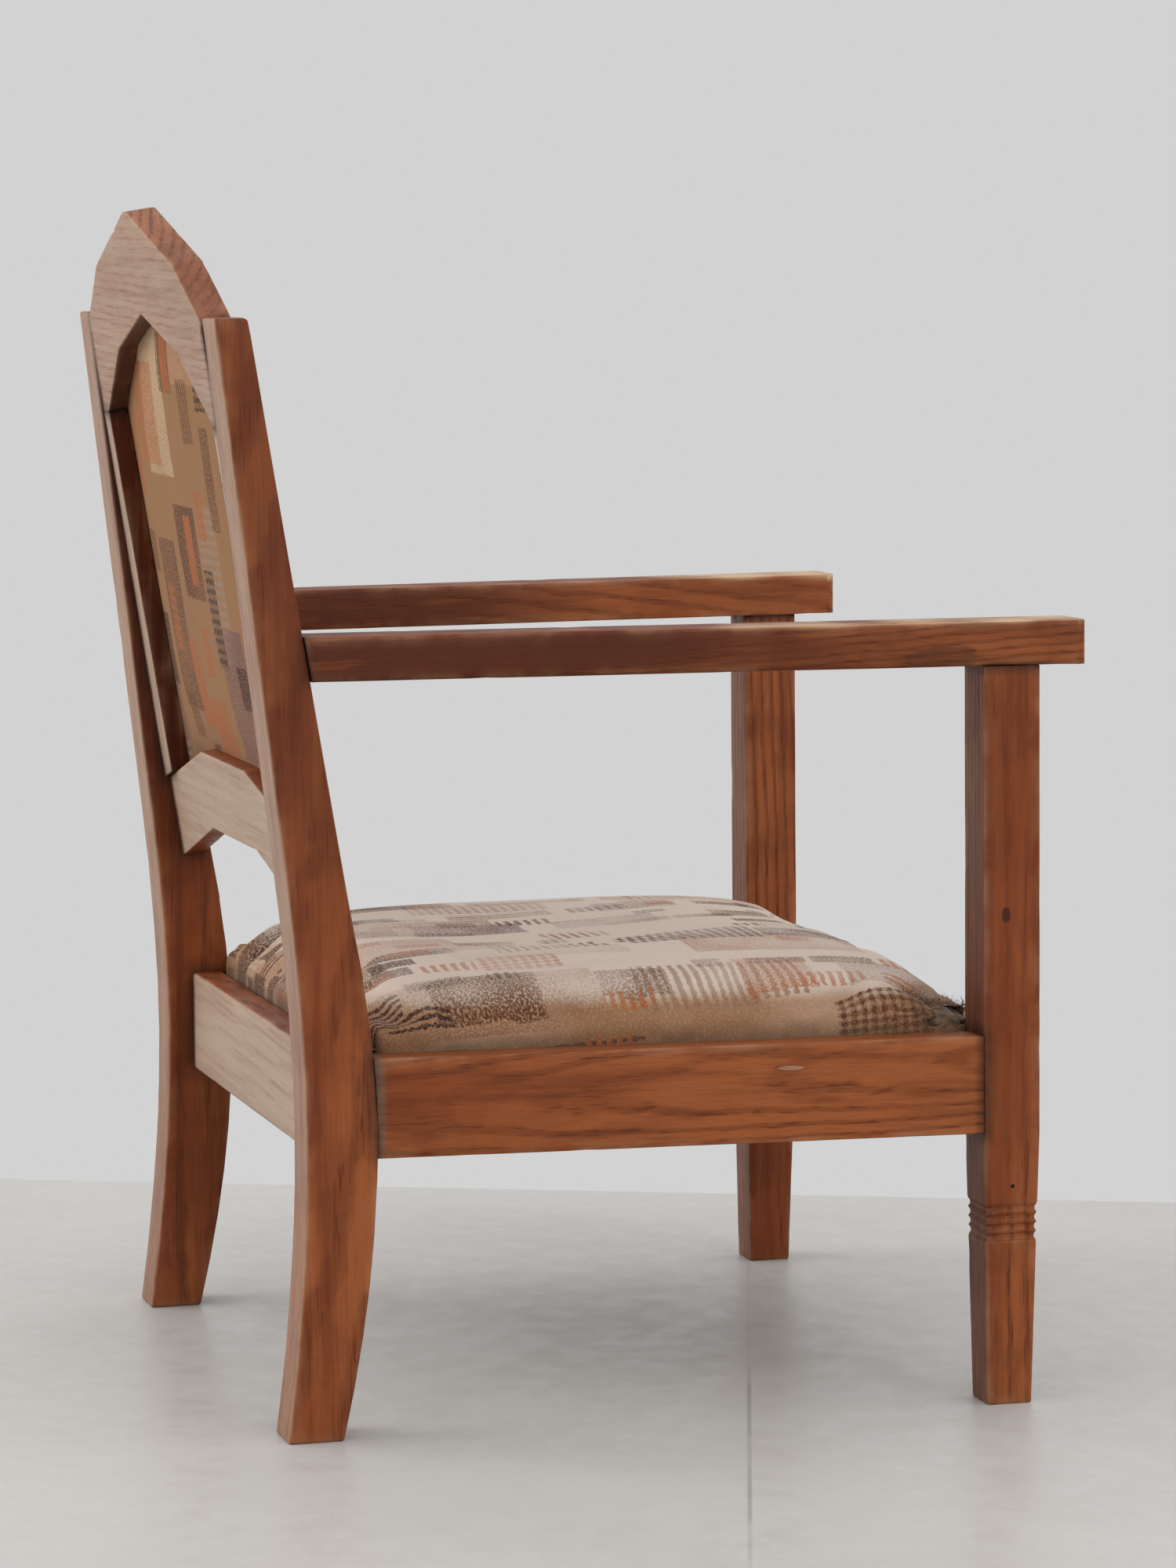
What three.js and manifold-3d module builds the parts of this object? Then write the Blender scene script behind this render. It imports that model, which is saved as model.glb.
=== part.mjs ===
// Low oak armchair with an upholstered drop-in seat and back panel.
// Millimetres, +Z up. The sitter faces -Y, and the sitter's left is +X.
// The origin lies on the floor, under the middle of the chair's overall box.
import * as THREE from 'three';
import { mergeVertices } from 'three/addons/utils/BufferGeometryUtils.js';
import Module from 'manifold-3d';

const wasm = await Module();
wasm.setup();

// Joints between the pieces, and how they are cut
const FIT = 0.3; // free play around a tenon, and between two pieces that touch
const TENON_LENGTH = 16;
const TENON_THICKNESS = 10;
const TENON_SHOULDER = 12; // wood left above and below a tenon
const REACH = 400; // size of a cutting block, larger than any piece it cuts
const CURVE_STEPS = 9; // straight runs that make up each curve
const TRIM_RUN = 12; // how far a rail or arm is drawn into the post before it is cut to it

// Front legs
const LEG_FRONT_Y = -288.5;
const LEG_OUTER_X = 310.5;
const LEG_WIDTH = 42.7; // along X
const LEG_DEPTH = 43.1; // along Y
const LEG_TAPER_Z = 202; // the leg tapers from here to the floor
const FOOT_WIDTH = 34.7;
const FOOT_DEPTH = 33.8;
const FOOT_INSET_OUTER = 2;
const FOOT_INSET_FRONT = 6;
const FLUTE_COUNT = 4;
const FLUTE_TOP_Z = 148.6;
const FLUTE_PITCH = 6.85;
const FLUTE_DEPTH = 1.8;
const FLUTE_LIP = 0.2; // share of a flute's pitch in which it slopes in, and out again

// Back posts
const POST_WIDTH = 43; // along X
const POST_FOOT_X = 279; // outer face at the floor
const POST_TOP_X = 264.5; // outer face at the top
const POST_HEIGHT = 800;
const POST_FOOT_FRONT_Y = 228;
const POST_FOOT_REAR_Y = 269;
const POST_BEND_FRONT_Y = 208.4; // front face where the straight upper part begins
const POST_BEND_FRONT_Z = 330;
const POST_BEND_REAR_Y = 262.9;
const POST_BEND_REAR_Z = 400;
const POST_TOP_FRONT_Y = 283.4;
const POST_TOP_REAR_Y = 307.7;
const POST_FRONT_PULL = 110; // how far each end of the front curve runs straight
const POST_REAR_PULL = 150;
const POST_FOOT_FRONT_SLOPE = 0.24;
const POST_FOOT_REAR_SLOPE = 0.14;

// Arms
const ARM_UNDER_Z = 543.5;
const ARM_THICKNESS = 32;
const ARM_OVERHANG = 34.7; // how far the arm passes the front leg
const ARM_OUTER_FRONT_X = 316;
const ARM_OUTER_REAR_X = 272;
const ARM_WIDTH_FRONT = 50;
const ARM_WIDTH_REAR = 46;
const ARM_CORNER = 9;
const ARM_TENON_SIDE = 20;

// Seat rails
const RAIL_TOP_Z = 273.8;
const RAIL_HEIGHT = 71.9;
const SIDE_RAIL_THICKNESS = 28;
const FRONT_RAIL_THICKNESS = 26;
const FRONT_RAIL_SETBACK = 6; // behind the front face of the legs
const REAR_RAIL_THICKNESS = 24;
const REAR_RAIL_REAR_Y = 231.5;
const REAR_RAIL_HEIGHT = 77.6;
const REAR_RAIL_DROP = 1.8; // its top lies below the other rails

// Back frame, laid out in its own leaning plane: x across, s up the slope
const BACK_FOOT_Y = 185.6; // where the plane of its rear face meets the floor
const BACK_SLOPE = 0.1542;
const BACK_THICKNESS = 23.5;
const CREST_PEAK_S = 886.4;
const CREST_PEAK_FLAT = 7; // half width of the worn flat at the peak
const CREST_CORNER_X = 150;
const CREST_CORNER_S = 846.9;
const CREST_FOOT_S = 803.9;
const CREST_END_S = 730.5;
const ARCH_PEAK_S = 809.5;
const ARCH_CORNER_X = 116;
const ARCH_CORNER_S = 781.1;
const ARCH_SPRING_X = 202.5;
const STILE_FOOT_X = 195; // inner edge of the stile where it stands on the mid rail
const MID_RAIL_FLAT_X = 80; // half length of the level middle part
const MID_RAIL_TOP_S = 468.5;
const MID_RAIL_TOP_DROP = 33.4; // fall of the top edge from the level part to the post
const MID_RAIL_BOTTOM_S = 407.8;
const MID_RAIL_BOTTOM_DROP = 37.5;
const MID_RAIL_SETBACK = 4;
const MID_RAIL_THICKNESS = 19;
const MID_RAIL_TENON_LENGTH = 12;
const REBATE_LEDGE = 15.5; // wood left behind the rebate that takes the back panel
const REBATE_WIDTH = 10;

// Drop-in seat
const SEAT_CLEARANCE = 1.5; // between the seat and the rails and posts around it
const SEAT_FRAME_UNDER_Z = 250;
const SEAT_FRAME_THICKNESS = 20;
const SEAT_FRAME_WIDTH = 45;
const SEAT_EDGE_Z = 284; // where the side of the seat turns into its crown
const SEAT_RISE = 43.5;
const SEAT_COVER_THICKNESS = 3;
const SEAT_SEGMENTS = 16;
const SEAT_SIDE_FULLNESS = 4; // higher is flatter in the middle and steeper at the edge
const SEAT_REAR_FULLNESS = 4.5;
const SEAT_FRONT_FULLNESS = 4;
const SEAT_EDGE_ROUNDING = 0.5;
const SEAT_FRONT_ROUNDING = 0.6;
const SEAT_SAG_DEPTH = 9; // how far the worn middle has sunk
const SEAT_SAG_RADIUS = 190;
const SEAT_SAG_Y = 40; // middle of the sunk place
const TORN_CORNER_RADIUS = 46;
const TORN_CORNER_DEPTH = 15;

// Webbing and base cloth
const WEBBING_WIDTH = 50;
const WEBBING_THICKNESS = 2;
const WEBBING_COUNT = 3;
const WEBBING_PITCH = 112;
const WEBBING_SLOPE_LENGTH = 14; // run in which a strap passes from under to over
const WEBBING_LAP = 30; // length of strap that lies on the wooden frame
const WEBBING_EASE = 1; // level run past each edge of the strap that is crossed
const BASE_CLOTH_THICKNESS = 1;
const BACK_WEBBING_COUNT = 4;

// Seat bearers, corner braces and nails
const BEARER_HEIGHT = 20;
const BEARER_WIDTH = 18;
const BEARER_LENGTH = 270;
const BRACE_HEIGHT = 34;
const BRACE_INNER = 26; // distance from the corner to the near side of the brace
const BRACE_OUTER = 62; // distance from the corner to the far side of the brace
const NAIL_RADIUS = 1.8;
const NAIL_HEAD_RADIUS = 3.6;
const NAIL_HEAD_THICKNESS = 1.5;
const NAIL_DEPTH = 15; // how far the nail goes into the rail
const NAIL_SIDES = 8;
const NAIL_HEIGHT_SPREAD = 8; // the two nails of a brace lie this far above and below its middle

// Back panel
const PANEL_CLEARANCE = 0.6; // between the panel and its rebate
const PANEL_FRAME_THICKNESS = 8;
const PANEL_FRAME_WIDTH = 34;
const PANEL_REAR_CLOTH = 1.2; // thickness of the rear cover where it is held
const PANEL_REAR_BULGE = 7;
const PANEL_FRONT_EDGE = 8; // height of the front pad at its edge
const PANEL_FRONT_RISE = 22;
const PANEL_COVER_THICKNESS = 3;
const PANEL_SEGMENTS_ACROSS = 12;
const PANEL_SEGMENTS_UP = 12;
const PANEL_FULLNESS = 3;
const PANEL_EDGE_ROUNDING = 0.6;
const PANEL_CORNER_COLUMN = 0.5; // which of its columns, as a share, meets the arch's corner

// Values worked out from the sizes above
const LEG_INNER_X = LEG_OUTER_X - LEG_WIDTH;
const LEG_REAR_Y = LEG_FRONT_Y + LEG_DEPTH;
const ARM_FRONT_Y = LEG_FRONT_Y - ARM_OVERHANG;
const RAIL_UNDER_Z = RAIL_TOP_Z - RAIL_HEIGHT;
const RAIL_MIDDLE_Z = RAIL_TOP_Z - RAIL_HEIGHT / 2;
const FRONT_RAIL_FRONT_Y = LEG_FRONT_Y + FRONT_RAIL_SETBACK;
const FRONT_RAIL_REAR_Y = FRONT_RAIL_FRONT_Y + FRONT_RAIL_THICKNESS;
const REAR_RAIL_TOP_Z = RAIL_TOP_Z - REAR_RAIL_DROP;
const REAR_RAIL_FRONT_Y = REAR_RAIL_REAR_Y - REAR_RAIL_THICKNESS;
const SEAT_FRAME_TOP_Z = SEAT_FRAME_UNDER_Z + SEAT_FRAME_THICKNESS;
const SEAT_FRONT_Y = FRONT_RAIL_REAR_Y + SEAT_CLEARANCE;
const SEAT_REAR_Y = REAR_RAIL_FRONT_Y - SEAT_CLEARANCE;
const BEARER_TOP_Z = SEAT_FRAME_UNDER_Z - FIT;
const BACK_LEAN = Math.atan(BACK_SLOPE);
const POST_LEAN = (POST_FOOT_X - POST_TOP_X) / POST_HEIGHT;
const POST_SLOPE_FRONT = (POST_TOP_FRONT_Y - POST_BEND_FRONT_Y) / (POST_HEIGHT - POST_BEND_FRONT_Z);
const POST_SLOPE_REAR = (POST_TOP_REAR_Y - POST_BEND_REAR_Y) / (POST_HEIGHT - POST_BEND_REAR_Z);
const CREST_PEAK_Y = BACK_FOOT_Y + CREST_PEAK_S * Math.sin(BACK_LEAN);

const postOuterX = (z) => POST_FOOT_X - POST_LEAN * z;
const postInnerX = (z) => postOuterX(z) - POST_WIDTH;
const lerp = THREE.MathUtils.lerp;

// Materials
const wood = (color) => new THREE.MeshStandardMaterial({ color, roughness: 0.55, metalness: 0 });
const soft = (color) => new THREE.MeshStandardMaterial({ color, roughness: 0.95, metalness: 0 });
const stainedOak = wood(0x7c4225);
const plainBeech = wood(0xb08a5e);
const coverCloth = soft(0xb5a184);
const juteWebbing = soft(0xa3875a);
const baseCloth = soft(0xb9a077);
const hairStuffing = soft(0x4a3a2a);
const nailSteel = new THREE.MeshStandardMaterial({ color: 0x5d5550, roughness: 0.6, metalness: 0.8 });

// Directions in which an outline is drawn and extruded
const AXIS_X = new THREE.Vector3(1, 0, 0);
const AXIS_Y = new THREE.Vector3(0, 1, 0);
const AXIS_Z = new THREE.Vector3(0, 0, 1);
const SIDE_VIEW = new THREE.Matrix4().makeBasis(AXIS_Y, AXIS_Z, AXIS_X);
const FRONT_VIEW = new THREE.Matrix4().makeBasis(AXIS_X, AXIS_Z, AXIS_Y.clone().negate());

// Turns a closed three.js geometry into a solid that can be joined and cut
function toSolid(geometry) {
  const bare = geometry.clone();
  bare.deleteAttribute('normal');
  bare.deleteAttribute('uv');
  const merged = mergeVertices(bare);
  const vertProperties = new Float32Array(merged.attributes.position.array);
  const triVerts = new Uint32Array(merged.index.array);
  return new wasm.Manifold(new wasm.Mesh({ numProp: 3, vertProperties, triVerts }));
}

function toGeometry(solid) {
  const mesh = solid.getMesh();
  const geometry = new THREE.BufferGeometry();
  geometry.setAttribute('position', new THREE.BufferAttribute(mesh.vertProperties, 3));
  geometry.setIndex(new THREE.BufferAttribute(mesh.triVerts, 1));
  geometry.computeVertexNormals();
  return geometry;
}

function shapeOf(points) {
  return new THREE.Shape(points.map(([a, b]) => new THREE.Vector2(a, b)));
}

function extrude(shape, depth) {
  return new THREE.ExtrudeGeometry(shape, { depth, bevelEnabled: false, curveSegments: CURVE_STEPS });
}

// An outline (y, z) that fills the space from x0 to x1
function sidePrism(shape, x0, x1) {
  return extrude(shape, x1 - x0).applyMatrix4(SIDE_VIEW).translate(x0, 0, 0);
}

// An outline (x, z) that fills the space from y0, the front, to y1
function frontPrism(shape, y0, y1) {
  return extrude(shape, y1 - y0).applyMatrix4(FRONT_VIEW).translate(0, y1, 0);
}

// An outline (x, y) that fills the space from z0 to z1
function planPrism(shape, z0, z1) {
  return extrude(shape, z1 - z0).translate(0, 0, z0);
}

function block(x0, x1, y0, y1, z0, z1) {
  const box = new THREE.BoxGeometry(x1 - x0, y1 - y0, z1 - z0);
  return toSolid(box.translate((x0 + x1) / 2, (y0 + y1) / 2, (z0 + z1) / 2));
}

// A block and the hole that takes it, which is larger by the play on every side
function tenon(x0, x1, y0, y1, z0, z1) {
  return {
    peg: block(x0, x1, y0, y1, z0, z1),
    hole: block(x0 - FIT, x1 + FIT, y0 - FIT, y1 + FIT, z0 - FIT, z1 + FIT),
  };
}

function mirrorX(geometry) {
  const mirrored = geometry.clone().scale(-1, 1, 1);
  const index = mirrored.index.array;
  for (let i = 0; i < index.length; i += 3) {
    [index[i], index[i + 1]] = [index[i + 1], index[i]];
  }
  mirrored.computeVertexNormals();
  return mirrored;
}

// Half an outline, from its top on the centre line to its bottom, made whole
function mirroredOutline(half) {
  const other = half.filter(([x]) => x > 0).map(([x, s]) => [-x, s]).reverse();
  return [...half, ...other];
}

// Moves each edge of a closed clockwise outline outwards by a distance
function offsetOutline(points, distance) {
  const count = points.length;
  const edges = points.map(([ax, ay], i) => {
    const [bx, by] = points[(i + 1) % count];
    const length = Math.hypot(bx - ax, by - ay);
    const normal = [-(by - ay) / length, (bx - ax) / length];
    return { normal, reach: ax * normal[0] + ay * normal[1] + distance };
  });
  return edges.map((edge, i) => {
    const last = edges[(i + count - 1) % count];
    const det = last.normal[0] * edge.normal[1] - last.normal[1] * edge.normal[0];
    const x = (last.reach * edge.normal[1] - edge.reach * last.normal[1]) / det;
    const y = (edge.reach * last.normal[0] - last.reach * edge.normal[0]) / det;
    return [x, y];
  });
}

const chair = new THREE.Group();
const joinery = new THREE.Group();
const back = new THREE.Group();
const seat = new THREE.Group();
back.position.y = BACK_FOOT_Y;
back.rotation.x = -BACK_LEAN;
chair.add(joinery, back, seat);
chair.position.y = -(ARM_FRONT_Y + CREST_PEAK_Y) / 2; // the arms' front ends to the crest's peak

// Adds a piece whose own origin is the middle of its box
function addPiece(group, name, geometry, material) {
  geometry.computeBoundingBox();
  const middle = geometry.boundingBox.getCenter(new THREE.Vector3());
  geometry.translate(-middle.x, -middle.y, -middle.z);
  const mesh = new THREE.Mesh(geometry, material);
  mesh.name = name;
  mesh.position.copy(middle);
  group.add(mesh);
}

// A piece drawn on the sitter's left, and its mirror image on the right
function addPair(group, name, geometry, material) {
  addPiece(group, `${name}_right`, mirrorX(geometry), material);
  addPiece(group, `${name}_left`, geometry, material);
}

// Back post outline (y, z): straight above, swept back to the floor below
function postShape() {
  const shape = new THREE.Shape();
  shape.moveTo(POST_FOOT_FRONT_Y, 0);
  shape.lineTo(POST_FOOT_REAR_Y, 0);
  shape.bezierCurveTo(
    POST_FOOT_REAR_Y - POST_FOOT_REAR_SLOPE * POST_REAR_PULL,
    POST_REAR_PULL,
    POST_BEND_REAR_Y - POST_SLOPE_REAR * POST_REAR_PULL,
    POST_BEND_REAR_Z - POST_REAR_PULL,
    POST_BEND_REAR_Y,
    POST_BEND_REAR_Z,
  );
  shape.lineTo(POST_TOP_REAR_Y, POST_HEIGHT);
  shape.lineTo(POST_TOP_FRONT_Y, POST_HEIGHT);
  shape.lineTo(POST_BEND_FRONT_Y, POST_BEND_FRONT_Z);
  shape.bezierCurveTo(
    POST_BEND_FRONT_Y - POST_SLOPE_FRONT * POST_FRONT_PULL,
    POST_BEND_FRONT_Z - POST_FRONT_PULL,
    POST_FOOT_FRONT_Y - POST_FOOT_FRONT_SLOPE * POST_FRONT_PULL,
    POST_FRONT_PULL,
    POST_FOOT_FRONT_Y,
    0,
  );
  return shape;
}

function postSolid() {
  const prism = sidePrism(postShape(), POST_FOOT_X - POST_WIDTH, POST_FOOT_X);
  return toSolid(prism.applyMatrix4(new THREE.Matrix4().makeShear(0, 0, 0, 0, -POST_LEAN, 0)));
}

// Cuts a piece off at the post's front face, with the play between them
function trimToPost(solid) {
  return solid.subtract(toSolid(sidePrism(postShape(), -REACH, REACH).translate(0, -FIT, 0)));
}

// The post's front face, found on its outline at a height
function postFrontY(z) {
  const points = postShape().getPoints(CURVE_STEPS).slice().reverse();
  const face = points.filter((p, i) => i === 0 || p.y > points[i - 1].y);
  const above = face.findIndex((p) => p.y >= z);
  const [a, b] = [face[above - 1], face[above]];
  return lerp(a.x, b.x, (z - a.y) / (b.y - a.y));
}

// One upright edge of a front leg: straight, then tapered with the flutes cut in it
function legEdge(top, foot, inward) {
  const at = (z) => lerp(foot, top, Math.min(1, z / LEG_TAPER_Z));
  const points = [[top, ARM_UNDER_Z - FIT], [top, LEG_TAPER_Z]];
  for (let i = 0; i < FLUTE_COUNT; i += 1) {
    const z = FLUTE_TOP_Z - i * FLUTE_PITCH;
    points.push([at(z), z]);
    for (const part of [FLUTE_LIP, 1 - FLUTE_LIP]) {
      const zc = z - part * FLUTE_PITCH;
      points.push([at(zc) + inward * FLUTE_DEPTH, zc]);
    }
  }
  const end = FLUTE_TOP_Z - FLUTE_COUNT * FLUTE_PITCH;
  points.push([at(end), end], [foot, 0]);
  return points;
}

// The leg is what two side views of it have in common
function legSolid() {
  const footOuter = LEG_OUTER_X - FOOT_INSET_OUTER;
  const footFront = LEG_FRONT_Y + FOOT_INSET_FRONT;
  const across = [
    ...legEdge(LEG_INNER_X, footOuter - FOOT_WIDTH, 1),
    ...legEdge(LEG_OUTER_X, footOuter, -1).reverse(),
  ];
  const along = [
    ...legEdge(LEG_FRONT_Y, footFront, 1),
    ...legEdge(LEG_REAR_Y, footFront + FOOT_DEPTH, -1).reverse(),
  ];
  const front = toSolid(frontPrism(shapeOf(across), -REACH, REACH));
  return front.intersect(toSolid(sidePrism(shapeOf(along), -REACH, REACH)));
}

// Side rail plan: its outer face runs from the leg's outer face to the post's
const railAngle = (y) => (y - LEG_REAR_Y) / (postFrontY(RAIL_MIDDLE_Z) - LEG_REAR_Y);
const sideRailOuterX = (y) => lerp(LEG_OUTER_X, postOuterX(RAIL_MIDDLE_Z), railAngle(y));
const sideRailInnerX = (y) => sideRailOuterX(y) - SIDE_RAIL_THICKNESS;

function sideRailSolid() {
  const front = LEG_REAR_Y + FIT;
  const rear = postFrontY(RAIL_MIDDLE_Z) + TRIM_RUN;
  const plan = [
    [sideRailInnerX(front), front],
    [sideRailOuterX(front), front],
    [sideRailOuterX(rear), rear],
    [sideRailInnerX(rear), rear],
  ];
  return trimToPost(toSolid(planPrism(shapeOf(plan), RAIL_UNDER_Z, RAIL_TOP_Z)));
}

// Arm plan: wider at the front, with rounded front corners
function armSolid() {
  const rear = postFrontY(ARM_UNDER_Z + ARM_THICKNESS) + TRIM_RUN;
  const innerFront = ARM_OUTER_FRONT_X - ARM_WIDTH_FRONT;
  const innerRear = ARM_OUTER_REAR_X - ARM_WIDTH_REAR;
  const length = postFrontY(ARM_UNDER_Z) - ARM_FRONT_Y;
  const outerX = (y) => lerp(ARM_OUTER_FRONT_X, ARM_OUTER_REAR_X, (y - ARM_FRONT_Y) / length);
  const innerX = (y) => lerp(innerFront, innerRear, (y - ARM_FRONT_Y) / length);
  const corner = ARM_FRONT_Y + ARM_CORNER;
  const plan = new THREE.Shape();
  plan.moveTo(innerFront + ARM_CORNER, ARM_FRONT_Y);
  plan.lineTo(ARM_OUTER_FRONT_X - ARM_CORNER, ARM_FRONT_Y);
  plan.quadraticCurveTo(ARM_OUTER_FRONT_X, ARM_FRONT_Y, outerX(corner), corner);
  plan.lineTo(outerX(rear), rear);
  plan.lineTo(innerX(rear), rear);
  plan.lineTo(innerX(corner), corner);
  plan.quadraticCurveTo(innerFront, ARM_FRONT_Y, innerFront + ARM_CORNER, ARM_FRONT_Y);
  return trimToPost(toSolid(planPrism(plan, ARM_UNDER_Z, ARM_UNDER_Z + ARM_THICKNESS)));
}

// A rail between two upright faces, whose ends follow the faces as they lean
function crossRail(innerX, y0, y1, z0, z1) {
  const outline = [
    [-innerX(z0), z0],
    [innerX(z0), z0],
    [innerX(z1), z1],
    [-innerX(z1), z1],
  ];
  return toSolid(frontPrism(shapeOf(outline), y0, y1));
}

// Tenons of the rails and arms on the sitter's left
function railTenon(x, y, alongX) {
  const half = TENON_THICKNESS / 2;
  const low = RAIL_UNDER_Z + TENON_SHOULDER;
  const high = REAR_RAIL_TOP_Z - TENON_SHOULDER;
  const length = TENON_LENGTH;
  return alongX
    ? tenon(x - length, x + length, y - half, y + half, low, high)
    : tenon(x - half, x + half, y - length, y + length, low, high);
}

const sideRailMiddleX = (y) => sideRailOuterX(y) - SIDE_RAIL_THICKNESS / 2;
const postRailY = postFrontY(RAIL_MIDDLE_Z);
const armMiddleZ = ARM_UNDER_Z + ARM_THICKNESS / 2;
const armPostY = postFrontY(armMiddleZ);
const armTenonX = postOuterX(armMiddleZ) - POST_WIDTH / 2;
const armTenonHalf = ARM_THICKNESS / 2 - TENON_SHOULDER / 2;
const legMiddleX = LEG_OUTER_X - LEG_WIDTH / 2;
const legMiddleY = LEG_FRONT_Y + LEG_DEPTH / 2;
const legTenonHalf = ARM_TENON_SIDE / 2;
const tenons = {
  sideFront: railTenon(sideRailMiddleX(LEG_REAR_Y), LEG_REAR_Y, false),
  sideRear: railTenon(sideRailMiddleX(postRailY), postRailY, false),
  front: railTenon(LEG_INNER_X, FRONT_RAIL_REAR_Y - FRONT_RAIL_THICKNESS / 2, true),
  rear: railTenon(postInnerX(RAIL_MIDDLE_Z), REAR_RAIL_REAR_Y - REAR_RAIL_THICKNESS / 2, true),
  leg: tenon(
    legMiddleX - legTenonHalf,
    legMiddleX + legTenonHalf,
    legMiddleY - legTenonHalf,
    legMiddleY + legTenonHalf,
    ARM_UNDER_Z - TENON_LENGTH,
    ARM_UNDER_Z + TENON_LENGTH,
  ),
  arm: tenon(
    armTenonX - TENON_THICKNESS / 2,
    armTenonX + TENON_THICKNESS / 2,
    armPostY - TENON_LENGTH,
    armPostY + TENON_LENGTH,
    armMiddleZ - armTenonHalf,
    armMiddleZ + armTenonHalf,
  ),
};
const mirrorSolid = (solid) => toSolid(mirrorX(toGeometry(solid)));

// Mid rail of the back, drawn in the leaning plane
function midRailSolid() {
  const endS = MID_RAIL_TOP_S - MID_RAIL_TOP_DROP;
  const endX = postInnerX(endS * Math.cos(BACK_LEAN)) - FIT;
  const outline = mirroredOutline([
    [MID_RAIL_FLAT_X, MID_RAIL_TOP_S],
    [endX, endS],
    [endX, MID_RAIL_BOTTOM_S - MID_RAIL_BOTTOM_DROP],
    [MID_RAIL_FLAT_X, MID_RAIL_BOTTOM_S],
  ]);
  return toSolid(frontPrism(shapeOf(outline), -MID_RAIL_SETBACK - MID_RAIL_THICKNESS, -MID_RAIL_SETBACK));
}

const midTenonX = postInnerX((MID_RAIL_BOTTOM_S + MID_RAIL_TOP_S) / 2 * Math.cos(BACK_LEAN));
const midTenonY = -MID_RAIL_SETBACK - MID_RAIL_THICKNESS / 2;
const midTenon = tenon(
  midTenonX - MID_RAIL_TENON_LENGTH,
  midTenonX + MID_RAIL_TENON_LENGTH,
  midTenonY - TENON_THICKNESS / 2,
  midTenonY + TENON_THICKNESS / 2,
  MID_RAIL_BOTTOM_S - MID_RAIL_BOTTOM_DROP + TENON_SHOULDER,
  MID_RAIL_TOP_S - MID_RAIL_TOP_DROP - TENON_SHOULDER,
);

// Takes a solid from the leaning plane of the back into the chair's own frame
function fromBack(solid) {
  back.updateMatrix();
  return toSolid(toGeometry(solid).applyMatrix4(back.matrix));
}

const legPiece = legSolid().add(tenons.leg.peg).subtract(tenons.sideFront.hole).subtract(tenons.front.hole);
const postPiece = postSolid()
  .subtract(tenons.sideRear.hole)
  .subtract(tenons.rear.hole)
  .subtract(tenons.arm.hole)
  .subtract(fromBack(midTenon.hole));
const armPiece = armSolid().add(tenons.arm.peg).subtract(tenons.leg.hole);
const frontRailEnd = () => LEG_INNER_X - FIT;
const rearRailEnd = (z) => postInnerX(z) - FIT;
const rearRailUnderZ = REAR_RAIL_TOP_Z - REAR_RAIL_HEIGHT;

// Nails that hold the corner braces to the rails, and the holes they fill
function nailSolid(tip, direction, length) {
  const turn = new THREE.Quaternion().setFromUnitVectors(AXIS_Y, direction.clone().negate());
  const shank = (radius, from, to) => {
    const rod = new THREE.CylinderGeometry(radius, radius, to - from, NAIL_SIDES);
    rod.translate(0, (from + to) / 2, 0).applyQuaternion(turn);
    return toSolid(rod.translate(tip.x, tip.y, tip.z));
  };
  const headEnd = length + NAIL_HEAD_THICKNESS;
  return {
    nail: shank(NAIL_RADIUS, 0, headEnd).add(shank(NAIL_HEAD_RADIUS, length, headEnd)),
    hole: shank(NAIL_RADIUS + FIT, -FIT, headEnd + REACH),
  };
}

// Corner brace plan: a slanting bar from the side rail to the front or rear rail
function brace(cornerY, towards) {
  const wall = (y) => sideRailInnerX(y) - FIT;
  const near = cornerY + towards * BRACE_INNER;
  const far = cornerY + towards * BRACE_OUTER;
  const face = cornerY + towards * FIT;
  const cornerX = wall(cornerY);
  const outline = [
    [wall(near), near],
    [wall(far), far],
    [cornerX - BRACE_OUTER, face],
    [cornerX - BRACE_INNER, face],
  ];
  const ordered = towards > 0 ? outline : outline.reverse();
  const body = toSolid(planPrism(shapeOf(ordered), BEARER_TOP_Z - BRACE_HEIGHT, BEARER_TOP_Z));
  const middleZ = BEARER_TOP_Z - BRACE_HEIGHT / 2;
  const share = (BRACE_OUTER - BRACE_INNER) / 2;
  const sideY = cornerY + towards * (BRACE_INNER + share);
  const endX = cornerX - BRACE_INNER - share;
  const lengthInBrace = share * 2;
  const side = nailSolid(
    new THREE.Vector3(wall(sideY) + NAIL_DEPTH, sideY, middleZ + NAIL_HEIGHT_SPREAD),
    AXIS_X,
    NAIL_DEPTH + lengthInBrace,
  );
  const end = nailSolid(
    new THREE.Vector3(endX, face - towards * NAIL_DEPTH, middleZ - NAIL_HEIGHT_SPREAD),
    AXIS_Y.clone().multiplyScalar(-towards),
    NAIL_DEPTH + lengthInBrace,
  );
  return { body: body.subtract(side.hole).subtract(end.hole), side, end };
}

const frontBrace = brace(FRONT_RAIL_REAR_Y, 1);
const rearBrace = brace(REAR_RAIL_FRONT_Y, -1);

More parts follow.
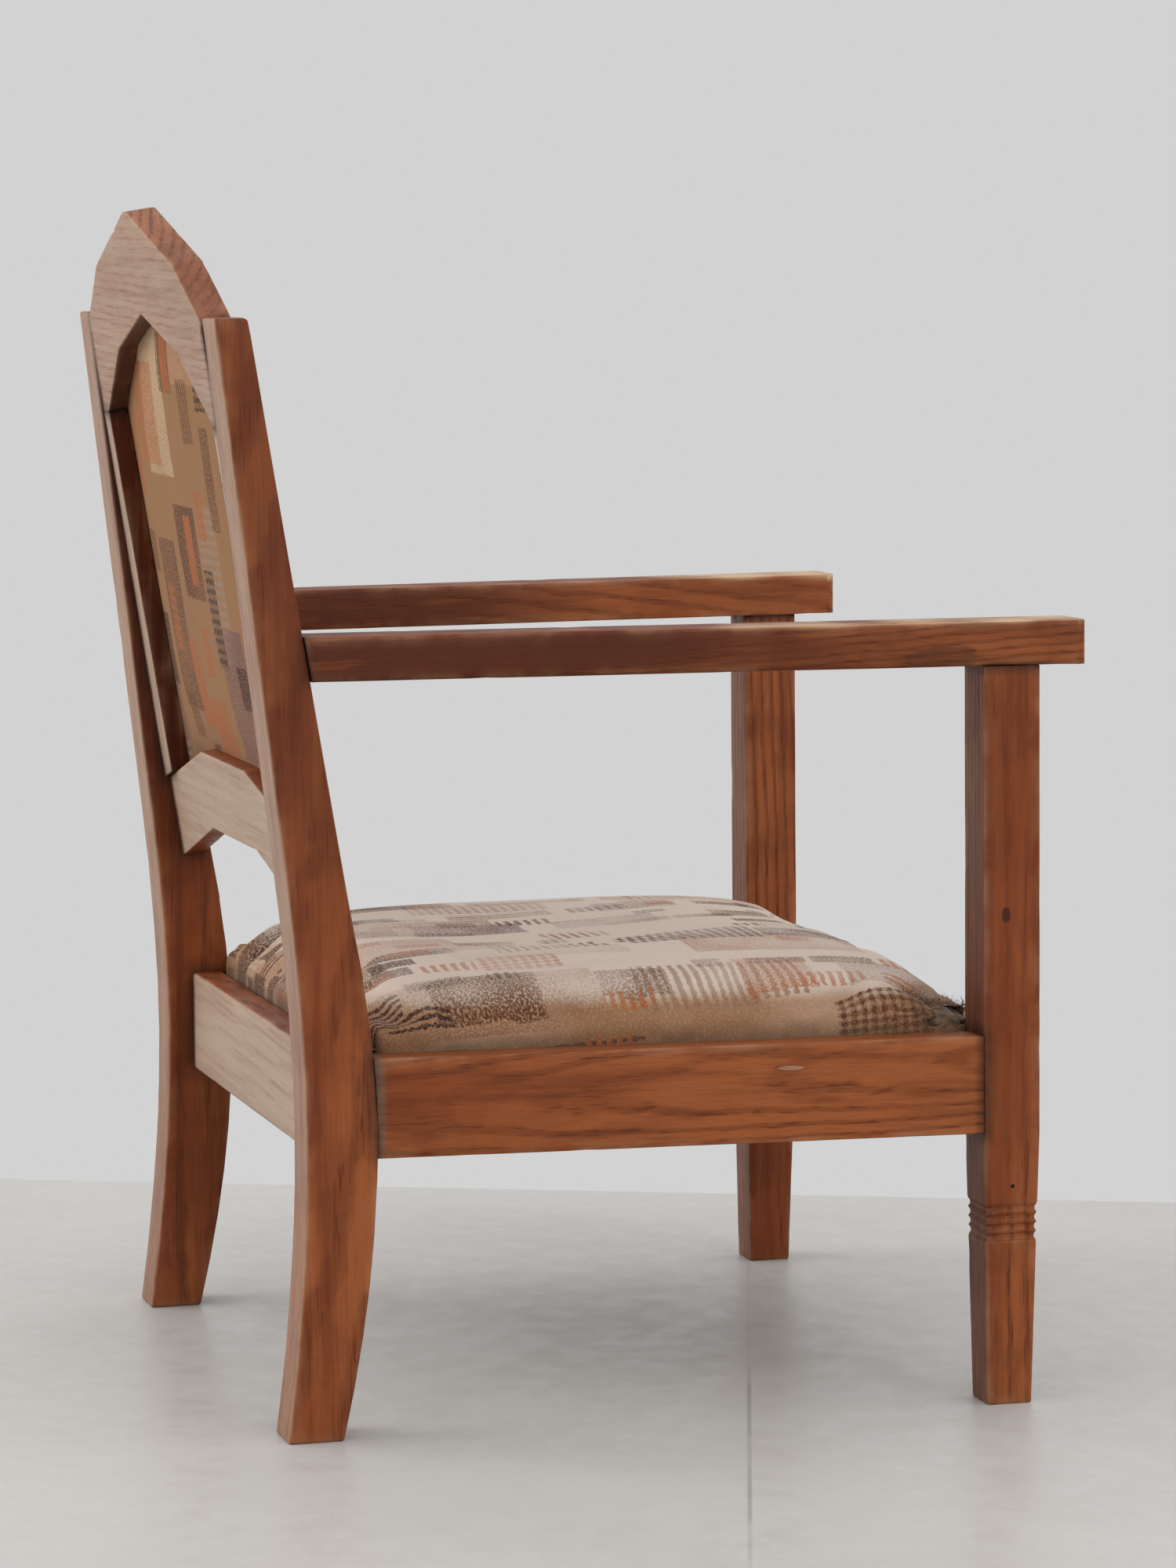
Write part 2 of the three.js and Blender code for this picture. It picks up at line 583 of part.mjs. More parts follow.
const sideRailPiece = sideRailSolid()
  .add(tenons.sideFront.peg)
  .add(tenons.sideRear.peg)
  .subtract(frontBrace.side.hole)
  .subtract(rearBrace.side.hole);
const frontRailBar = crossRail(frontRailEnd, FRONT_RAIL_FRONT_Y, FRONT_RAIL_REAR_Y, RAIL_UNDER_Z, RAIL_TOP_Z);
const frontRailPiece = frontRailBar
  .add(tenons.front.peg)
  .add(mirrorSolid(tenons.front.peg))
  .subtract(frontBrace.end.hole)
  .subtract(mirrorSolid(frontBrace.end.hole));
const rearRailDepths = [REAR_RAIL_FRONT_Y, REAR_RAIL_REAR_Y];
const rearRailPiece = crossRail(rearRailEnd, ...rearRailDepths, rearRailUnderZ, REAR_RAIL_TOP_Z)
  .add(tenons.rear.peg)
  .add(mirrorSolid(tenons.rear.peg))
  .subtract(rearBrace.end.hole)
  .subtract(mirrorSolid(rearBrace.end.hole));

addPair(joinery, 'front_leg', toGeometry(legPiece), stainedOak);
addPair(joinery, 'back_post', toGeometry(postPiece), stainedOak);
addPair(joinery, 'arm', toGeometry(armPiece), stainedOak);
addPair(joinery, 'side_rail', toGeometry(sideRailPiece), stainedOak);
addPiece(joinery, 'front_rail', toGeometry(frontRailPiece), stainedOak);
addPiece(joinery, 'rear_rail', toGeometry(rearRailPiece), stainedOak);

addPair(joinery, 'corner_brace_front', toGeometry(frontBrace.body), plainBeech);
addPair(joinery, 'corner_brace_rear', toGeometry(rearBrace.body), plainBeech);
addPair(joinery, 'nail_front_side', toGeometry(frontBrace.side.nail), nailSteel);
addPair(joinery, 'nail_front_end', toGeometry(frontBrace.end.nail), nailSteel);
addPair(joinery, 'nail_rear_side', toGeometry(rearBrace.side.nail), nailSteel);
addPair(joinery, 'nail_rear_end', toGeometry(rearBrace.end.nail), nailSteel);

// Seat bearers: strips fixed along the inner faces of the side rails
function bearerGeometry() {
  const middle = (LEG_REAR_Y + postRailY) / 2;
  const ends = [middle - BEARER_LENGTH / 2, middle + BEARER_LENGTH / 2];
  const wall = (y) => sideRailInnerX(y) - FIT;
  const plan = [
    [wall(ends[0]) - BEARER_WIDTH, ends[0]],
    [wall(ends[0]), ends[0]],
    [wall(ends[1]), ends[1]],
    [wall(ends[1]) - BEARER_WIDTH, ends[1]],
  ];
  return toGeometry(toSolid(planPrism(shapeOf(plan), BEARER_TOP_Z - BEARER_HEIGHT, BEARER_TOP_Z)));
}
addPair(joinery, 'seat_bearer', bearerGeometry(), plainBeech);

// Opening of the back, clockwise from the peak of the arch
function openingOutline(bottomS) {
  const share = (CREST_END_S - bottomS) / (CREST_END_S - MID_RAIL_TOP_S);
  return mirroredOutline([
    [0, ARCH_PEAK_S],
    [ARCH_CORNER_X, ARCH_CORNER_S],
    [ARCH_SPRING_X, CREST_END_S],
    [lerp(ARCH_SPRING_X, STILE_FOOT_X, share), bottomS],
  ]);
}

const panelBottomS = MID_RAIL_TOP_S + FIT;
const rebate = offsetOutline(openingOutline(panelBottomS + REBATE_WIDTH), REBATE_WIDTH);
const rebateSolid = toSolid(frontPrism(shapeOf(rebate), -REACH, -REBATE_LEDGE));
const panelOutline = (inset) => offsetOutline(rebate, -PANEL_CLEARANCE - inset);

// Crest rail: faceted top, straight ends against the posts, pointed arch below
function crestSolid() {
  const postSide = (s) => postInnerX(s * Math.cos(BACK_LEAN)) - FIT;
  const outline = mirroredOutline([
    [CREST_PEAK_FLAT, CREST_PEAK_S],
    [CREST_CORNER_X, CREST_CORNER_S],
    [postSide(CREST_FOOT_S), CREST_FOOT_S],
    [postSide(CREST_END_S), CREST_END_S],
    [ARCH_SPRING_X, CREST_END_S],
    [ARCH_CORNER_X, ARCH_CORNER_S],
    [0, ARCH_PEAK_S],
  ]);
  return toSolid(frontPrism(shapeOf(outline), -BACK_THICKNESS, 0));
}

// Stile: fills the space between the post and the opening, and stands on the mid rail
function stileSolid() {
  const postSide = (s) => postInnerX(s * Math.cos(BACK_LEAN)) - FIT;
  const topS = CREST_END_S - FIT;
  const endS = MID_RAIL_TOP_S - MID_RAIL_TOP_DROP;
  const endX = postSide(endS);
  const midTop = (x) => lerp(MID_RAIL_TOP_S, endS, (x - MID_RAIL_FLAT_X) / (endX - MID_RAIL_FLAT_X));
  const outline = [
    [ARCH_SPRING_X, topS],
    [postSide(topS), topS],
    [endX, endS + FIT],
    [STILE_FOOT_X, midTop(STILE_FOOT_X) + FIT],
  ];
  return toSolid(frontPrism(shapeOf(outline), -BACK_THICKNESS, 0));
}

const midRailPiece = midRailSolid().add(midTenon.peg).add(mirrorSolid(midTenon.peg));
addPiece(back, 'crest_rail', toGeometry(crestSolid().subtract(rebateSolid)), stainedOak);
addPair(back, 'back_stile', toGeometry(stileSolid().subtract(rebateSolid)), stainedOak);
addPiece(back, 'mid_rail', toGeometry(midRailPiece), stainedOak);

// Back panel frame: a flat ring cut into a bottom bar, two sides and two top bars
const panelRearY = -REBATE_LEDGE - FIT;
const panelFrameRearY = panelRearY - PANEL_REAR_CLOTH - FIT;
const panelFrameFrontY = panelFrameRearY - PANEL_FRAME_THICKNESS;

function panelSlab(inset) {
  return toSolid(frontPrism(shapeOf(panelOutline(inset)), panelFrameFrontY, panelFrameRearY));
}

const ring = panelSlab(0).subtract(panelSlab(PANEL_FRAME_WIDTH));
const panelBarTopS = panelBottomS + PANEL_CLEARANCE + PANEL_FRAME_WIDTH;
const bottomBar = block(-REACH, REACH, -REACH, REACH, 0, panelBarTopS);
const sideBar = block(0, REACH, -REACH, REACH, panelBarTopS + FIT, CREST_END_S);
const topBar = block(FIT / 2, REACH, -REACH, REACH, CREST_END_S + FIT, CREST_PEAK_S);
addPiece(back, 'panel_frame_bottom', toGeometry(ring.intersect(bottomBar)), plainBeech);
addPair(back, 'panel_frame_side', toGeometry(ring.intersect(sideBar)), plainBeech);
addPair(back, 'panel_frame_top', toGeometry(ring.intersect(topBar)), plainBeech);

// Straps across the back panel, on the front of its frame
const strapEndX = (s, outline) => {
  const [upper, lower] = [outline[2], outline[3]];
  return lerp(lower[0], upper[0], (s - lower[1]) / (upper[1] - lower[1]));
};
const strapRoom = panelOutline(PANEL_COVER_THICKNESS + FIT);
const backStrapPitch = (CREST_END_S - panelBottomS) / BACK_WEBBING_COUNT;
for (let i = 0; i < BACK_WEBBING_COUNT; i += 1) {
  const s = panelBottomS + (i + 0.5) * backStrapPitch;
  const half = strapEndX(s - WEBBING_WIDTH / 2, strapRoom);
  const strap = new THREE.BoxGeometry(2 * half, WEBBING_THICKNESS, WEBBING_WIDTH);
  strap.translate(0, panelFrameFrontY - FIT - WEBBING_THICKNESS / 2, s);
  addPiece(back, `back_webbing_${i + 1}`, strap, juteWebbing);
}

// Share of a pad's full height at a place across it, from 0 at its edge to 1
const crown = (t, fullness, rounding) => (1 - Math.min(1, Math.abs(t)) ** fullness) ** rounding;

// Bends an evenly spaced row so that its points lie closer near the edges
const easeEdge = (t) => Math.sin((t * Math.PI) / 2);

// A pad on the back panel: its outline inset from the panel, its height by a crown
function panelPad(inset, baseY, edge, rise, frontwards) {
  const outline = panelOutline(inset);
  const [peak, corner, spring, foot] = outline;
  const pad = new THREE.BoxGeometry(2, 1, 2, PANEL_SEGMENTS_ACROSS, 1, PANEL_SEGMENTS_UP);
  const spots = pad.attributes.position;
  const archTop = (x) => (x < corner[0]
    ? lerp(peak[1], corner[1], x / corner[0])
    : lerp(corner[1], spring[1], (x - corner[0]) / (spring[0] - corner[0])));
  for (let i = 0; i < spots.count; i += 1) {
    const across = Math.abs(spots.getX(i));
    const up = easeEdge(spots.getZ(i));
    const topX = across < PANEL_CORNER_COLUMN
      ? lerp(0, corner[0], across / PANEL_CORNER_COLUMN)
      : lerp(corner[0], spring[0], easeEdge((across - PANEL_CORNER_COLUMN) / (1 - PANEL_CORNER_COLUMN)));
    const topS = archTop(topX);
    const s = lerp(foot[1], topS, (up + 1) / 2);
    const width = lerp(foot[0], spring[0], Math.min(1, (s - foot[1]) / (spring[1] - foot[1])));
    const x = (topX / spring[0]) * width * Math.sign(spots.getX(i));
    const high = crown(topX / spring[0], PANEL_FULLNESS, PANEL_EDGE_ROUNDING)
      * crown(up, PANEL_FULLNESS, PANEL_EDGE_ROUNDING);
    const away = edge + rise * high;
    const onCrown = spots.getY(i) < 0 === frontwards;
    const y = baseY + (onCrown ? away : 0) * (frontwards ? -1 : 1);
    spots.setXYZ(i, x, y, s);
  }
  return toSolid(pad);
}

const rearCloth = panelPad(0, panelFrameRearY + FIT, PANEL_REAR_CLOTH, 0, false);
const rearBulge = panelPad(REBATE_WIDTH, panelFrameRearY + FIT, PANEL_REAR_CLOTH, PANEL_REAR_BULGE, false);
addPiece(back, 'back_cover_rear', toGeometry(rearCloth.add(rearBulge)), coverCloth);

const frontPadY = panelFrameFrontY - FIT;
const frontPad = panelPad(0, frontPadY, PANEL_FRONT_EDGE, PANEL_FRONT_RISE, true);
const frontRoom = panelPad(
  PANEL_COVER_THICKNESS,
  frontPadY + FIT,
  PANEL_FRONT_EDGE - PANEL_COVER_THICKNESS + FIT,
  PANEL_FRONT_RISE,
  true,
);
const stuffingY = frontPadY - WEBBING_THICKNESS - FIT;
const frontStuffing = panelPad(
  PANEL_COVER_THICKNESS + FIT,
  stuffingY,
  PANEL_FRONT_EDGE - PANEL_COVER_THICKNESS - WEBBING_THICKNESS - 2 * FIT,
  PANEL_FRONT_RISE - FIT,
  true,
);
addPiece(back, 'back_cover_front', toGeometry(frontPad.subtract(frontRoom)), coverCloth);
addPiece(back, 'back_stuffing', toGeometry(frontStuffing), hairStuffing);

// The seat's block of space: sides along the rails, notched around legs and posts
function seatNotches(inset) {
  const gap = SEAT_CLEARANCE + inset;
  const leg = block(LEG_INNER_X - gap, REACH, -REACH, LEG_REAR_Y + gap, 0, REACH);
  const postY = postFrontY(RAIL_TOP_Z) - gap - FIT;
  const post = block(postInnerX(RAIL_TOP_Z) - gap, REACH, postY, REACH, 0, REACH);
  return leg.add(post).add(mirrorSolid(leg)).add(mirrorSolid(post));
}

const seatHalfX = (y, inset) => sideRailInnerX(y) - SEAT_CLEARANCE - inset;

// Crowned block for the cover and the stuffing, with its worn middle and its torn corner sunk in
function seatPad(inset, z0, edgeZ, rise) {
  const pad = new THREE.BoxGeometry(2, 2, 1, SEAT_SEGMENTS, SEAT_SEGMENTS, 1);
  const spots = pad.attributes.position;
  const front = SEAT_FRONT_Y + inset;
  const rear = SEAT_REAR_Y - inset;
  for (let i = 0; i < spots.count; i += 1) {
    const across = easeEdge(spots.getX(i));
    const along = easeEdge(spots.getY(i));
    const y = lerp(front, rear, (along + 1) / 2);
    const x = across * seatHalfX(y, inset);
    const lengthwise = along < 0
      ? crown(along, SEAT_FRONT_FULLNESS, SEAT_FRONT_ROUNDING)
      : crown(along, SEAT_REAR_FULLNESS, SEAT_EDGE_ROUNDING);
    const high = crown(across, SEAT_SIDE_FULLNESS, SEAT_EDGE_ROUNDING) * lengthwise;
    const fromCorner = Math.hypot(x + LEG_INNER_X, y - LEG_REAR_Y) / TORN_CORNER_RADIUS;
    const fromSag = Math.hypot(x, y - SEAT_SAG_Y) / SEAT_SAG_RADIUS;
    const torn = Math.max(0, 1 - fromCorner) * TORN_CORNER_DEPTH * high;
    const sunk = torn + Math.max(0, 1 - fromSag ** 2) ** 2 * SEAT_SAG_DEPTH;
    spots.setXYZ(i, x, y, spots.getZ(i) > 0 ? edgeZ + rise * high - sunk : z0);
  }
  return toSolid(pad).subtract(seatNotches(inset));
}

const innerInset = SEAT_COVER_THICKNESS + FIT;
const strapOverZ = SEAT_FRAME_TOP_Z + FIT + WEBBING_THICKNESS + FIT;
const baseClothZ = strapOverZ + WEBBING_THICKNESS + FIT;
const stuffingZ = baseClothZ + BASE_CLOTH_THICKNESS + FIT;
const seatOuter = seatPad(0, SEAT_FRAME_UNDER_Z, SEAT_EDGE_Z, SEAT_RISE);
const seatRoom = seatPad(
  SEAT_COVER_THICKNESS,
  SEAT_FRAME_UNDER_Z - SEAT_COVER_THICKNESS,
  SEAT_EDGE_Z - SEAT_COVER_THICKNESS,
  SEAT_RISE,
);
const seatStuffing = seatPad(innerInset, stuffingZ, SEAT_EDGE_Z - innerInset, SEAT_RISE - FIT);
addPiece(seat, 'seat_cover', toGeometry(seatOuter.subtract(seatRoom)), coverCloth);
addPiece(seat, 'seat_stuffing', toGeometry(seatStuffing), hairStuffing);

// Outline (x, y) of what lies inside the seat cover, between two depths
function seatPlan(y0, y1, inset) {
  return [
    [-seatHalfX(y0, inset), y0],
    [seatHalfX(y0, inset), y0],
    [seatHalfX(y1, inset), y1],
    [-seatHalfX(y1, inset), y1],
  ];
}

function seatLayer(y0, y1, z0, z1) {
  return toSolid(planPrism(shapeOf(seatPlan(y0, y1, innerInset)), z0, z1)).subtract(seatNotches(innerInset));
}

const seatInnerFrontY = SEAT_FRONT_Y + innerInset;
const seatInnerRearY = SEAT_REAR_Y - innerInset;
const frontBarEndY = seatInnerFrontY + SEAT_FRAME_WIDTH;
const rearBarStartY = seatInnerRearY - SEAT_FRAME_WIDTH;
const barHeights = [SEAT_FRAME_UNDER_Z, SEAT_FRAME_TOP_Z];
const frontBar = seatLayer(seatInnerFrontY, frontBarEndY, ...barHeights);
const rearBar = seatLayer(rearBarStartY, seatInnerRearY, ...barHeights);

function seatSideBar() {
  const y0 = frontBarEndY + FIT;
  const y1 = rearBarStartY - FIT;
  const plan = [
    [seatHalfX(y0, innerInset) - SEAT_FRAME_WIDTH, y0],
    [seatHalfX(y0, innerInset), y0],
    [seatHalfX(y1, innerInset), y1],
    [seatHalfX(y1, innerInset) - SEAT_FRAME_WIDTH, y1],
  ];
  return toGeometry(toSolid(planPrism(shapeOf(plan), ...barHeights)));
}

addPiece(seat, 'seat_frame_front', toGeometry(frontBar), plainBeech);
addPiece(seat, 'seat_frame_rear', toGeometry(rearBar), plainBeech);
addPair(seat, 'seat_frame_side', seatSideBar(), plainBeech);

// Webbing straps that pass under and over each other
const strapPlace = (i) => (i - (WEBBING_COUNT - 1) / 2) * WEBBING_PITCH;
const strapPlaces = Array.from({ length: WEBBING_COUNT }, (_, i) => strapPlace(i));
const seatMiddleY = (seatInnerFrontY + seatInnerRearY) / 2;

// Side outline of a strap: low on the frame, raised where it crosses over another
function strapOutline(start, end, crossings) {
  const low = SEAT_FRAME_TOP_Z + FIT;
  const half = WEBBING_WIDTH / 2 + WEBBING_EASE;
  const under = [[start, low]];
  for (const { place, over } of crossings) {
    if (over) {
      under.push([place - half - WEBBING_SLOPE_LENGTH, low]);
      under.push([place - half, strapOverZ]);
      under.push([place + half, strapOverZ]);
      under.push([place + half + WEBBING_SLOPE_LENGTH, low]);
    }
  }
  under.push([end, low]);
  const upper = under.map(([a, z]) => [a, z + WEBBING_THICKNESS]).reverse();
  return shapeOf([...under, ...upper]);
}

strapPlaces.forEach((place, i) => {
  const over = (j) => (i + j) % 2 === 0;
  const half = WEBBING_WIDTH / 2;
  const longStart = frontBarEndY - WEBBING_LAP;
  const longEnd = rearBarStartY + WEBBING_LAP;
  const longCross = strapPlaces.map((other, j) => ({ place: seatMiddleY + other, over: over(j) }));
  const long = sidePrism(strapOutline(longStart, longEnd, longCross), place - half, place + half);
  addPiece(seat, `seat_webbing_long_${i + 1}`, toGeometry(toSolid(long)), juteWebbing);

  const y = seatMiddleY + place;
  const reach = seatHalfX(y + half, innerInset) - SEAT_FRAME_WIDTH + WEBBING_LAP;
  const wideCross = strapPlaces.map((other, j) => ({ place: other, over: !over(j) }));
  const wide = frontPrism(strapOutline(-reach, reach, wideCross), y - half, y + half);
  addPiece(seat, `seat_webbing_cross_${i + 1}`, toGeometry(toSolid(wide)), juteWebbing);
});

const cloth = seatLayer(seatInnerFrontY, seatInnerRearY, baseClothZ, baseClothZ + BASE_CLOTH_THICKNESS);
addPiece(seat, 'seat_base_cloth', toGeometry(cloth), baseCloth);

export default chair;
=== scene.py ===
"""Looks of a low worn oak armchair with a drop-in seat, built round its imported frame."""

import math
import random

import bmesh
import bpy
from bpy.props import FloatProperty, FloatVectorProperty, IntProperty, PointerProperty
from mathutils import Matrix, Vector, noise
from mathutils.bvhtree import BVHTree


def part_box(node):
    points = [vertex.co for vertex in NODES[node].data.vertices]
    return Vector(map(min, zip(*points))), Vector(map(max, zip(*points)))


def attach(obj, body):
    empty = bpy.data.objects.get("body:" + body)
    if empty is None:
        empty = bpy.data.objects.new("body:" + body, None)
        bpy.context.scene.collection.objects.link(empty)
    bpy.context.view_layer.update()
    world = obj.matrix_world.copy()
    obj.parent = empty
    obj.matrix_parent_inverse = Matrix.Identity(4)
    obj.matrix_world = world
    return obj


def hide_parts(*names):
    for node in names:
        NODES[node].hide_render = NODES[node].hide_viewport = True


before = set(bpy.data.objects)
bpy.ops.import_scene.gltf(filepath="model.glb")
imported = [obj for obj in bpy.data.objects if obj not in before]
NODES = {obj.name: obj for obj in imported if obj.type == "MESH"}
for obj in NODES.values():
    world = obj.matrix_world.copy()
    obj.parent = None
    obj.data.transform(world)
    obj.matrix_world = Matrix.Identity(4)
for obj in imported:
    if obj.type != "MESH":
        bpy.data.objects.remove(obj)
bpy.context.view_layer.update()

bl_info = {
    "name": "Worn Oak Armchair",
    "version": (1, 0, 0),
    "blender": (4, 5, 0),
    "location": "View3D > Sidebar > Armchair",
    "description": "Builds the timber, the upholstery and the studio of a worn oak armchair",
    "category": "Object",
}

ROOT = "root"
MM = 0.001

# Timbers by the way their grain runs, with the radius of their eased edges
UPRIGHTS = {
    "front_leg_right": 1.5,
    "front_leg_left": 1.5,
    "back_post_right": 2.2,
    "back_post_left": 2.2,
    "back_stile_right": 1.0,
    "back_stile_left": 1.0,
}
LENGTHWAYS = {
    "arm_right": 3.4,
    "arm_left": 3.4,
    "side_rail_right": 1.4,
    "side_rail_left": 1.4,
}
CROSSWAYS = {
    "front_rail": 1.4,
    "rear_rail": 2.4,
    "crest_rail": 1.6,
    "mid_rail": 1.4,
}
PLAIN_TIMBERS = {
    "seat_frame_front": 1.5,
    "seat_frame_rear": 1.5,
    "seat_frame_side_right": 1.5,
    "seat_frame_side_left": 1.5,
    "seat_bearer_right": 0.8,
    "seat_bearer_left": 0.8,
    "corner_brace_front_right": 0.8,
    "corner_brace_front_left": 0.8,
    "corner_brace_rear_right": 0.8,
    "corner_brace_rear_left": 0.8,
}
PANEL_FRAME = [name for name in NODES if name.startswith("panel_frame")]
NAILS = [name for name in NODES if name.startswith("nail_")]
STRAPS = [name for name in NODES if "_webbing_" in name]

# The leaning plane of the back: its rear face meets the floor at this depth
BACK_FOOT_Y = 0.186855
BACK_LEAN = math.atan(0.1542)
BACK_PLANE = Matrix.Translation((0, BACK_FOOT_Y, 0)) @ Matrix.Rotation(-BACK_LEAN, 4, "X")
# Half outline of the back panel in that plane: across, and up the slope
PANEL_PEAK = (0.0, 0.8192)
PANEL_CORNER = (0.1196, 0.7899)
PANEL_SPRING = (0.2118, 0.7358)
PANEL_FOOT = (0.2042, 0.4694)
# The panel's foot follows the middle rail's top, which falls away past its level middle part
RAIL_FLAT_X = 0.080
RAIL_FALL = 0.2258


SEAT_LOW, SEAT_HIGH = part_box("seat_cover")
RAIL_TOP_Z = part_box("side_rail_right")[1].z


def held_in_unit(value):
    """A value held between 0 and 1"""
    return max(0.0, min(1.0, value))


class StageSettings(bpy.types.PropertyGroup):
    """The studio round the chair"""

    lens: FloatProperty(name="Lens", description="Focal length", default=121.1, unit="CAMERA")
    yaw: FloatProperty(
        name="Yaw", description="Turn of the view from +X towards -Y",
        default=math.radians(15.58), subtype="ANGLE",
    )
    pitch: FloatProperty(
        name="Pitch", description="How far the view looks down",
        default=math.radians(5.79), subtype="ANGLE",
    )
    roll: FloatProperty(
        name="Roll", description="Tilt of the picture", default=math.radians(-0.5), subtype="ANGLE",
    )
    eye: FloatVectorProperty(
        name="Eye", description="Where the camera stands",
        default=(-3.8914, 1.05196, 0.8457), subtype="TRANSLATION", unit="LENGTH",
    )
    wall: FloatVectorProperty(
        name="Wall", description="Colour of the wall", default=(0.645, 0.645, 0.645),
        subtype="COLOR", min=0, max=1,
    )
    floor: FloatVectorProperty(
        name="Floor", description="Colour of the painted floor", default=(0.53, 0.505, 0.475),
        subtype="COLOR", min=0, max=1,
    )
    ambient: FloatProperty(name="Ambient", description="Light from all round", default=1.0, min=0)


class TimberSettings(bpy.types.PropertyGroup):
    """The chair's wood"""

    stain: FloatVectorProperty(
        name="Stain", description="Main colour of the stained oak", default=(0.200, 0.044, 0.010),
        subtype="COLOR", min=0, max=1,
    )
    stain_dark: FloatVectorProperty(
        name="Dark stain", description="Colour of its pores and dark patches",
        default=(0.088, 0.016, 0.003), subtype="COLOR", min=0, max=1,
    )
    stain_pale: FloatVectorProperty(
        name="Pale stain", description="Colour of its rubbed patches", default=(0.300, 0.083, 0.022),
        subtype="COLOR", min=0, max=1,
    )
    # Painted shade: the dark colour laid on the back's reveals, inner and under faces, and the arms' rear
    # ends
    painted_shade: FloatVectorProperty(
        name="Painted shade", description="Dark colour painted on the reveals and the faces in shade",
        default=(0.034, 0.004, 0.001), subtype="COLOR", min=0, max=1,
    )
    # Painted reflection: the window's sheen on the rear faces, given as a pale colour
    painted_sheen: FloatVectorProperty(
        name="Oak under painted sheen", description="Pale colour painted on the faces that catch the sheen of the window behind",
        default=(0.385, 0.275, 0.200), subtype="COLOR", min=0, max=1,
    )
    bare: FloatVectorProperty(
        name="Bare oak", description="Oak where the finish is worn through",
        default=(0.56, 0.36, 0.21), subtype="COLOR", min=0, max=1,
    )
    plain: FloatVectorProperty(
        name="Plain wood", description="Unfinished wood of the hidden parts",
        default=(0.46, 0.31, 0.18), subtype="COLOR", min=0, max=1,
    )
    slice_along: FloatProperty(
        name="Slice", description="Distance between the cuts that carry the dents",
        default=0.012, unit="LENGTH",
    )
    waviness: FloatProperty(
        name="Waviness", description="Unevenness of the planed faces", default=0.00012, unit="LENGTH",
    )
    dents: FloatProperty(
        name="Dents", description="Depth of the dents along the edges", default=0.0016, unit="LENGTH",
    )


class ClothSettings(bpy.types.PropertyGroup):
    """The cover cloth and its worn pad"""

    ground: FloatVectorProperty(
        name="Ground", description="Ground colour of the cloth", default=(0.545, 0.420, 0.315),
        subtype="COLOR", min=0, max=1,
    )
    ground_back: FloatVectorProperty(
        name="Back's ground", description="Ground colour of the cloth on the back, which has kept its dye",
        default=(0.310, 0.180, 0.085), subtype="COLOR", min=0, max=1,
    )
    ground_aged: FloatVectorProperty(
        name="Aged ground", description="Ground colour of the cloth where it has yellowed",
        default=(0.300, 0.170, 0.088), subtype="COLOR", min=0, max=1,
    )
    # Partly painted light: the top's paleness stands for fading and for the light falling on it from above
    faded_and_lit: FloatVectorProperty(
        name="Faded and lit top", description="Colour of the seat's faded top, with painted light from above", default=(0.72, 0.60, 0.53),
        subtype="COLOR", min=0, max=1,
    )
    voxel: FloatProperty(
        name="Voxel", description="Mesh size of the pads before they swell",
        default=0.0055, unit="LENGTH",
    )
    frames: IntProperty(name="Frames", description="Steps of the swelling", default=20, min=1)
    pressure: FloatProperty(name="Pressure", description="Stuffing's push on the cloth", default=3.2)
    slack: FloatProperty(
        name="Slack", description="Share by which the worn cloth has grown", default=0.035,
    )
    swell: FloatProperty(
        name="Swell", description="Most that a point of a pad may move", default=0.006, unit="LENGTH",
    )


# Node helpers


def put(tree, kind, inputs=None, **options):
    """Adds a node, sets its options and fills its inputs with values or links"""
    node = tree.nodes.new(kind)
    for name, value in options.items():
        setattr(node, name, value)
    for key, value in (inputs or {}).items():
        if isinstance(value, bpy.types.NodeSocket):
            tree.links.new(value, node.inputs[key])
        else:
            node.inputs[key].default_value = value
    return node


def calc(tree, operation, a, b=0.0, c=0.0):
    """The result of a sum on up to three values"""
    return put(tree, "ShaderNodeMath", {0: a, 1: b, 2: c}, operation=operation).outputs[0]


def times(tree, a, b):
    """The product of two values"""
    return calc(tree, "MULTIPLY", a, b)


def calc_vector(tree, operation, a, b):
    """The result of a sum on two vectors"""
    return put(tree, "ShaderNodeVectorMath", {0: a, 1: b}, operation=operation).outputs[0]


def spread(tree, value, low, high, to_low=0.0, to_high=1.0, smooth=True):
    """Maps a value from one range to another, held at the ends"""
    inputs = {"Value": value, "From Min": low, "From Max": high, "To Min": to_low, "To Max": to_high}
    kind = "SMOOTHSTEP" if smooth else "LINEAR"
    return put(tree, "ShaderNodeMapRange", inputs, interpolation_type=kind).outputs["Result"]


def mix(tree, share, a, b, blend="MIX"):
    """A share of colour b over colour a"""
    node = put(tree, "ShaderNodeMix", data_type="RGBA", blend_type=blend, clamp_factor=True)
    for key, value in {0: share, 6: a, 7: b}.items():
        if isinstance(value, bpy.types.NodeSocket):
            tree.links.new(value, node.inputs[key])
        elif key == 0:
            node.inputs[key].default_value = value
        else:
            node.inputs[key].default_value = (*value[:3], 1)
    return node.outputs[2]


def grain_noise(tree, vector, scale, detail=3.0, roughness=0.55, stretch=(1, 1, 1)):
    """Noise whose features are drawn out along the axes whose stretch is small"""
    scaled = calc_vector(tree, "MULTIPLY", vector, stretch)
    inputs = {"Vector": scaled, "Scale": scale, "Detail": detail, "Roughness": roughness}
    return put(tree, "ShaderNodeTexNoise", inputs).outputs["Fac"]


def wave(tree, value, period):
    """A ripple between -1 and 1 along a value in metres, with its period in millimetres"""
    return calc(tree, "SINE", times(tree, value, 2 * math.pi / (period * MM)))


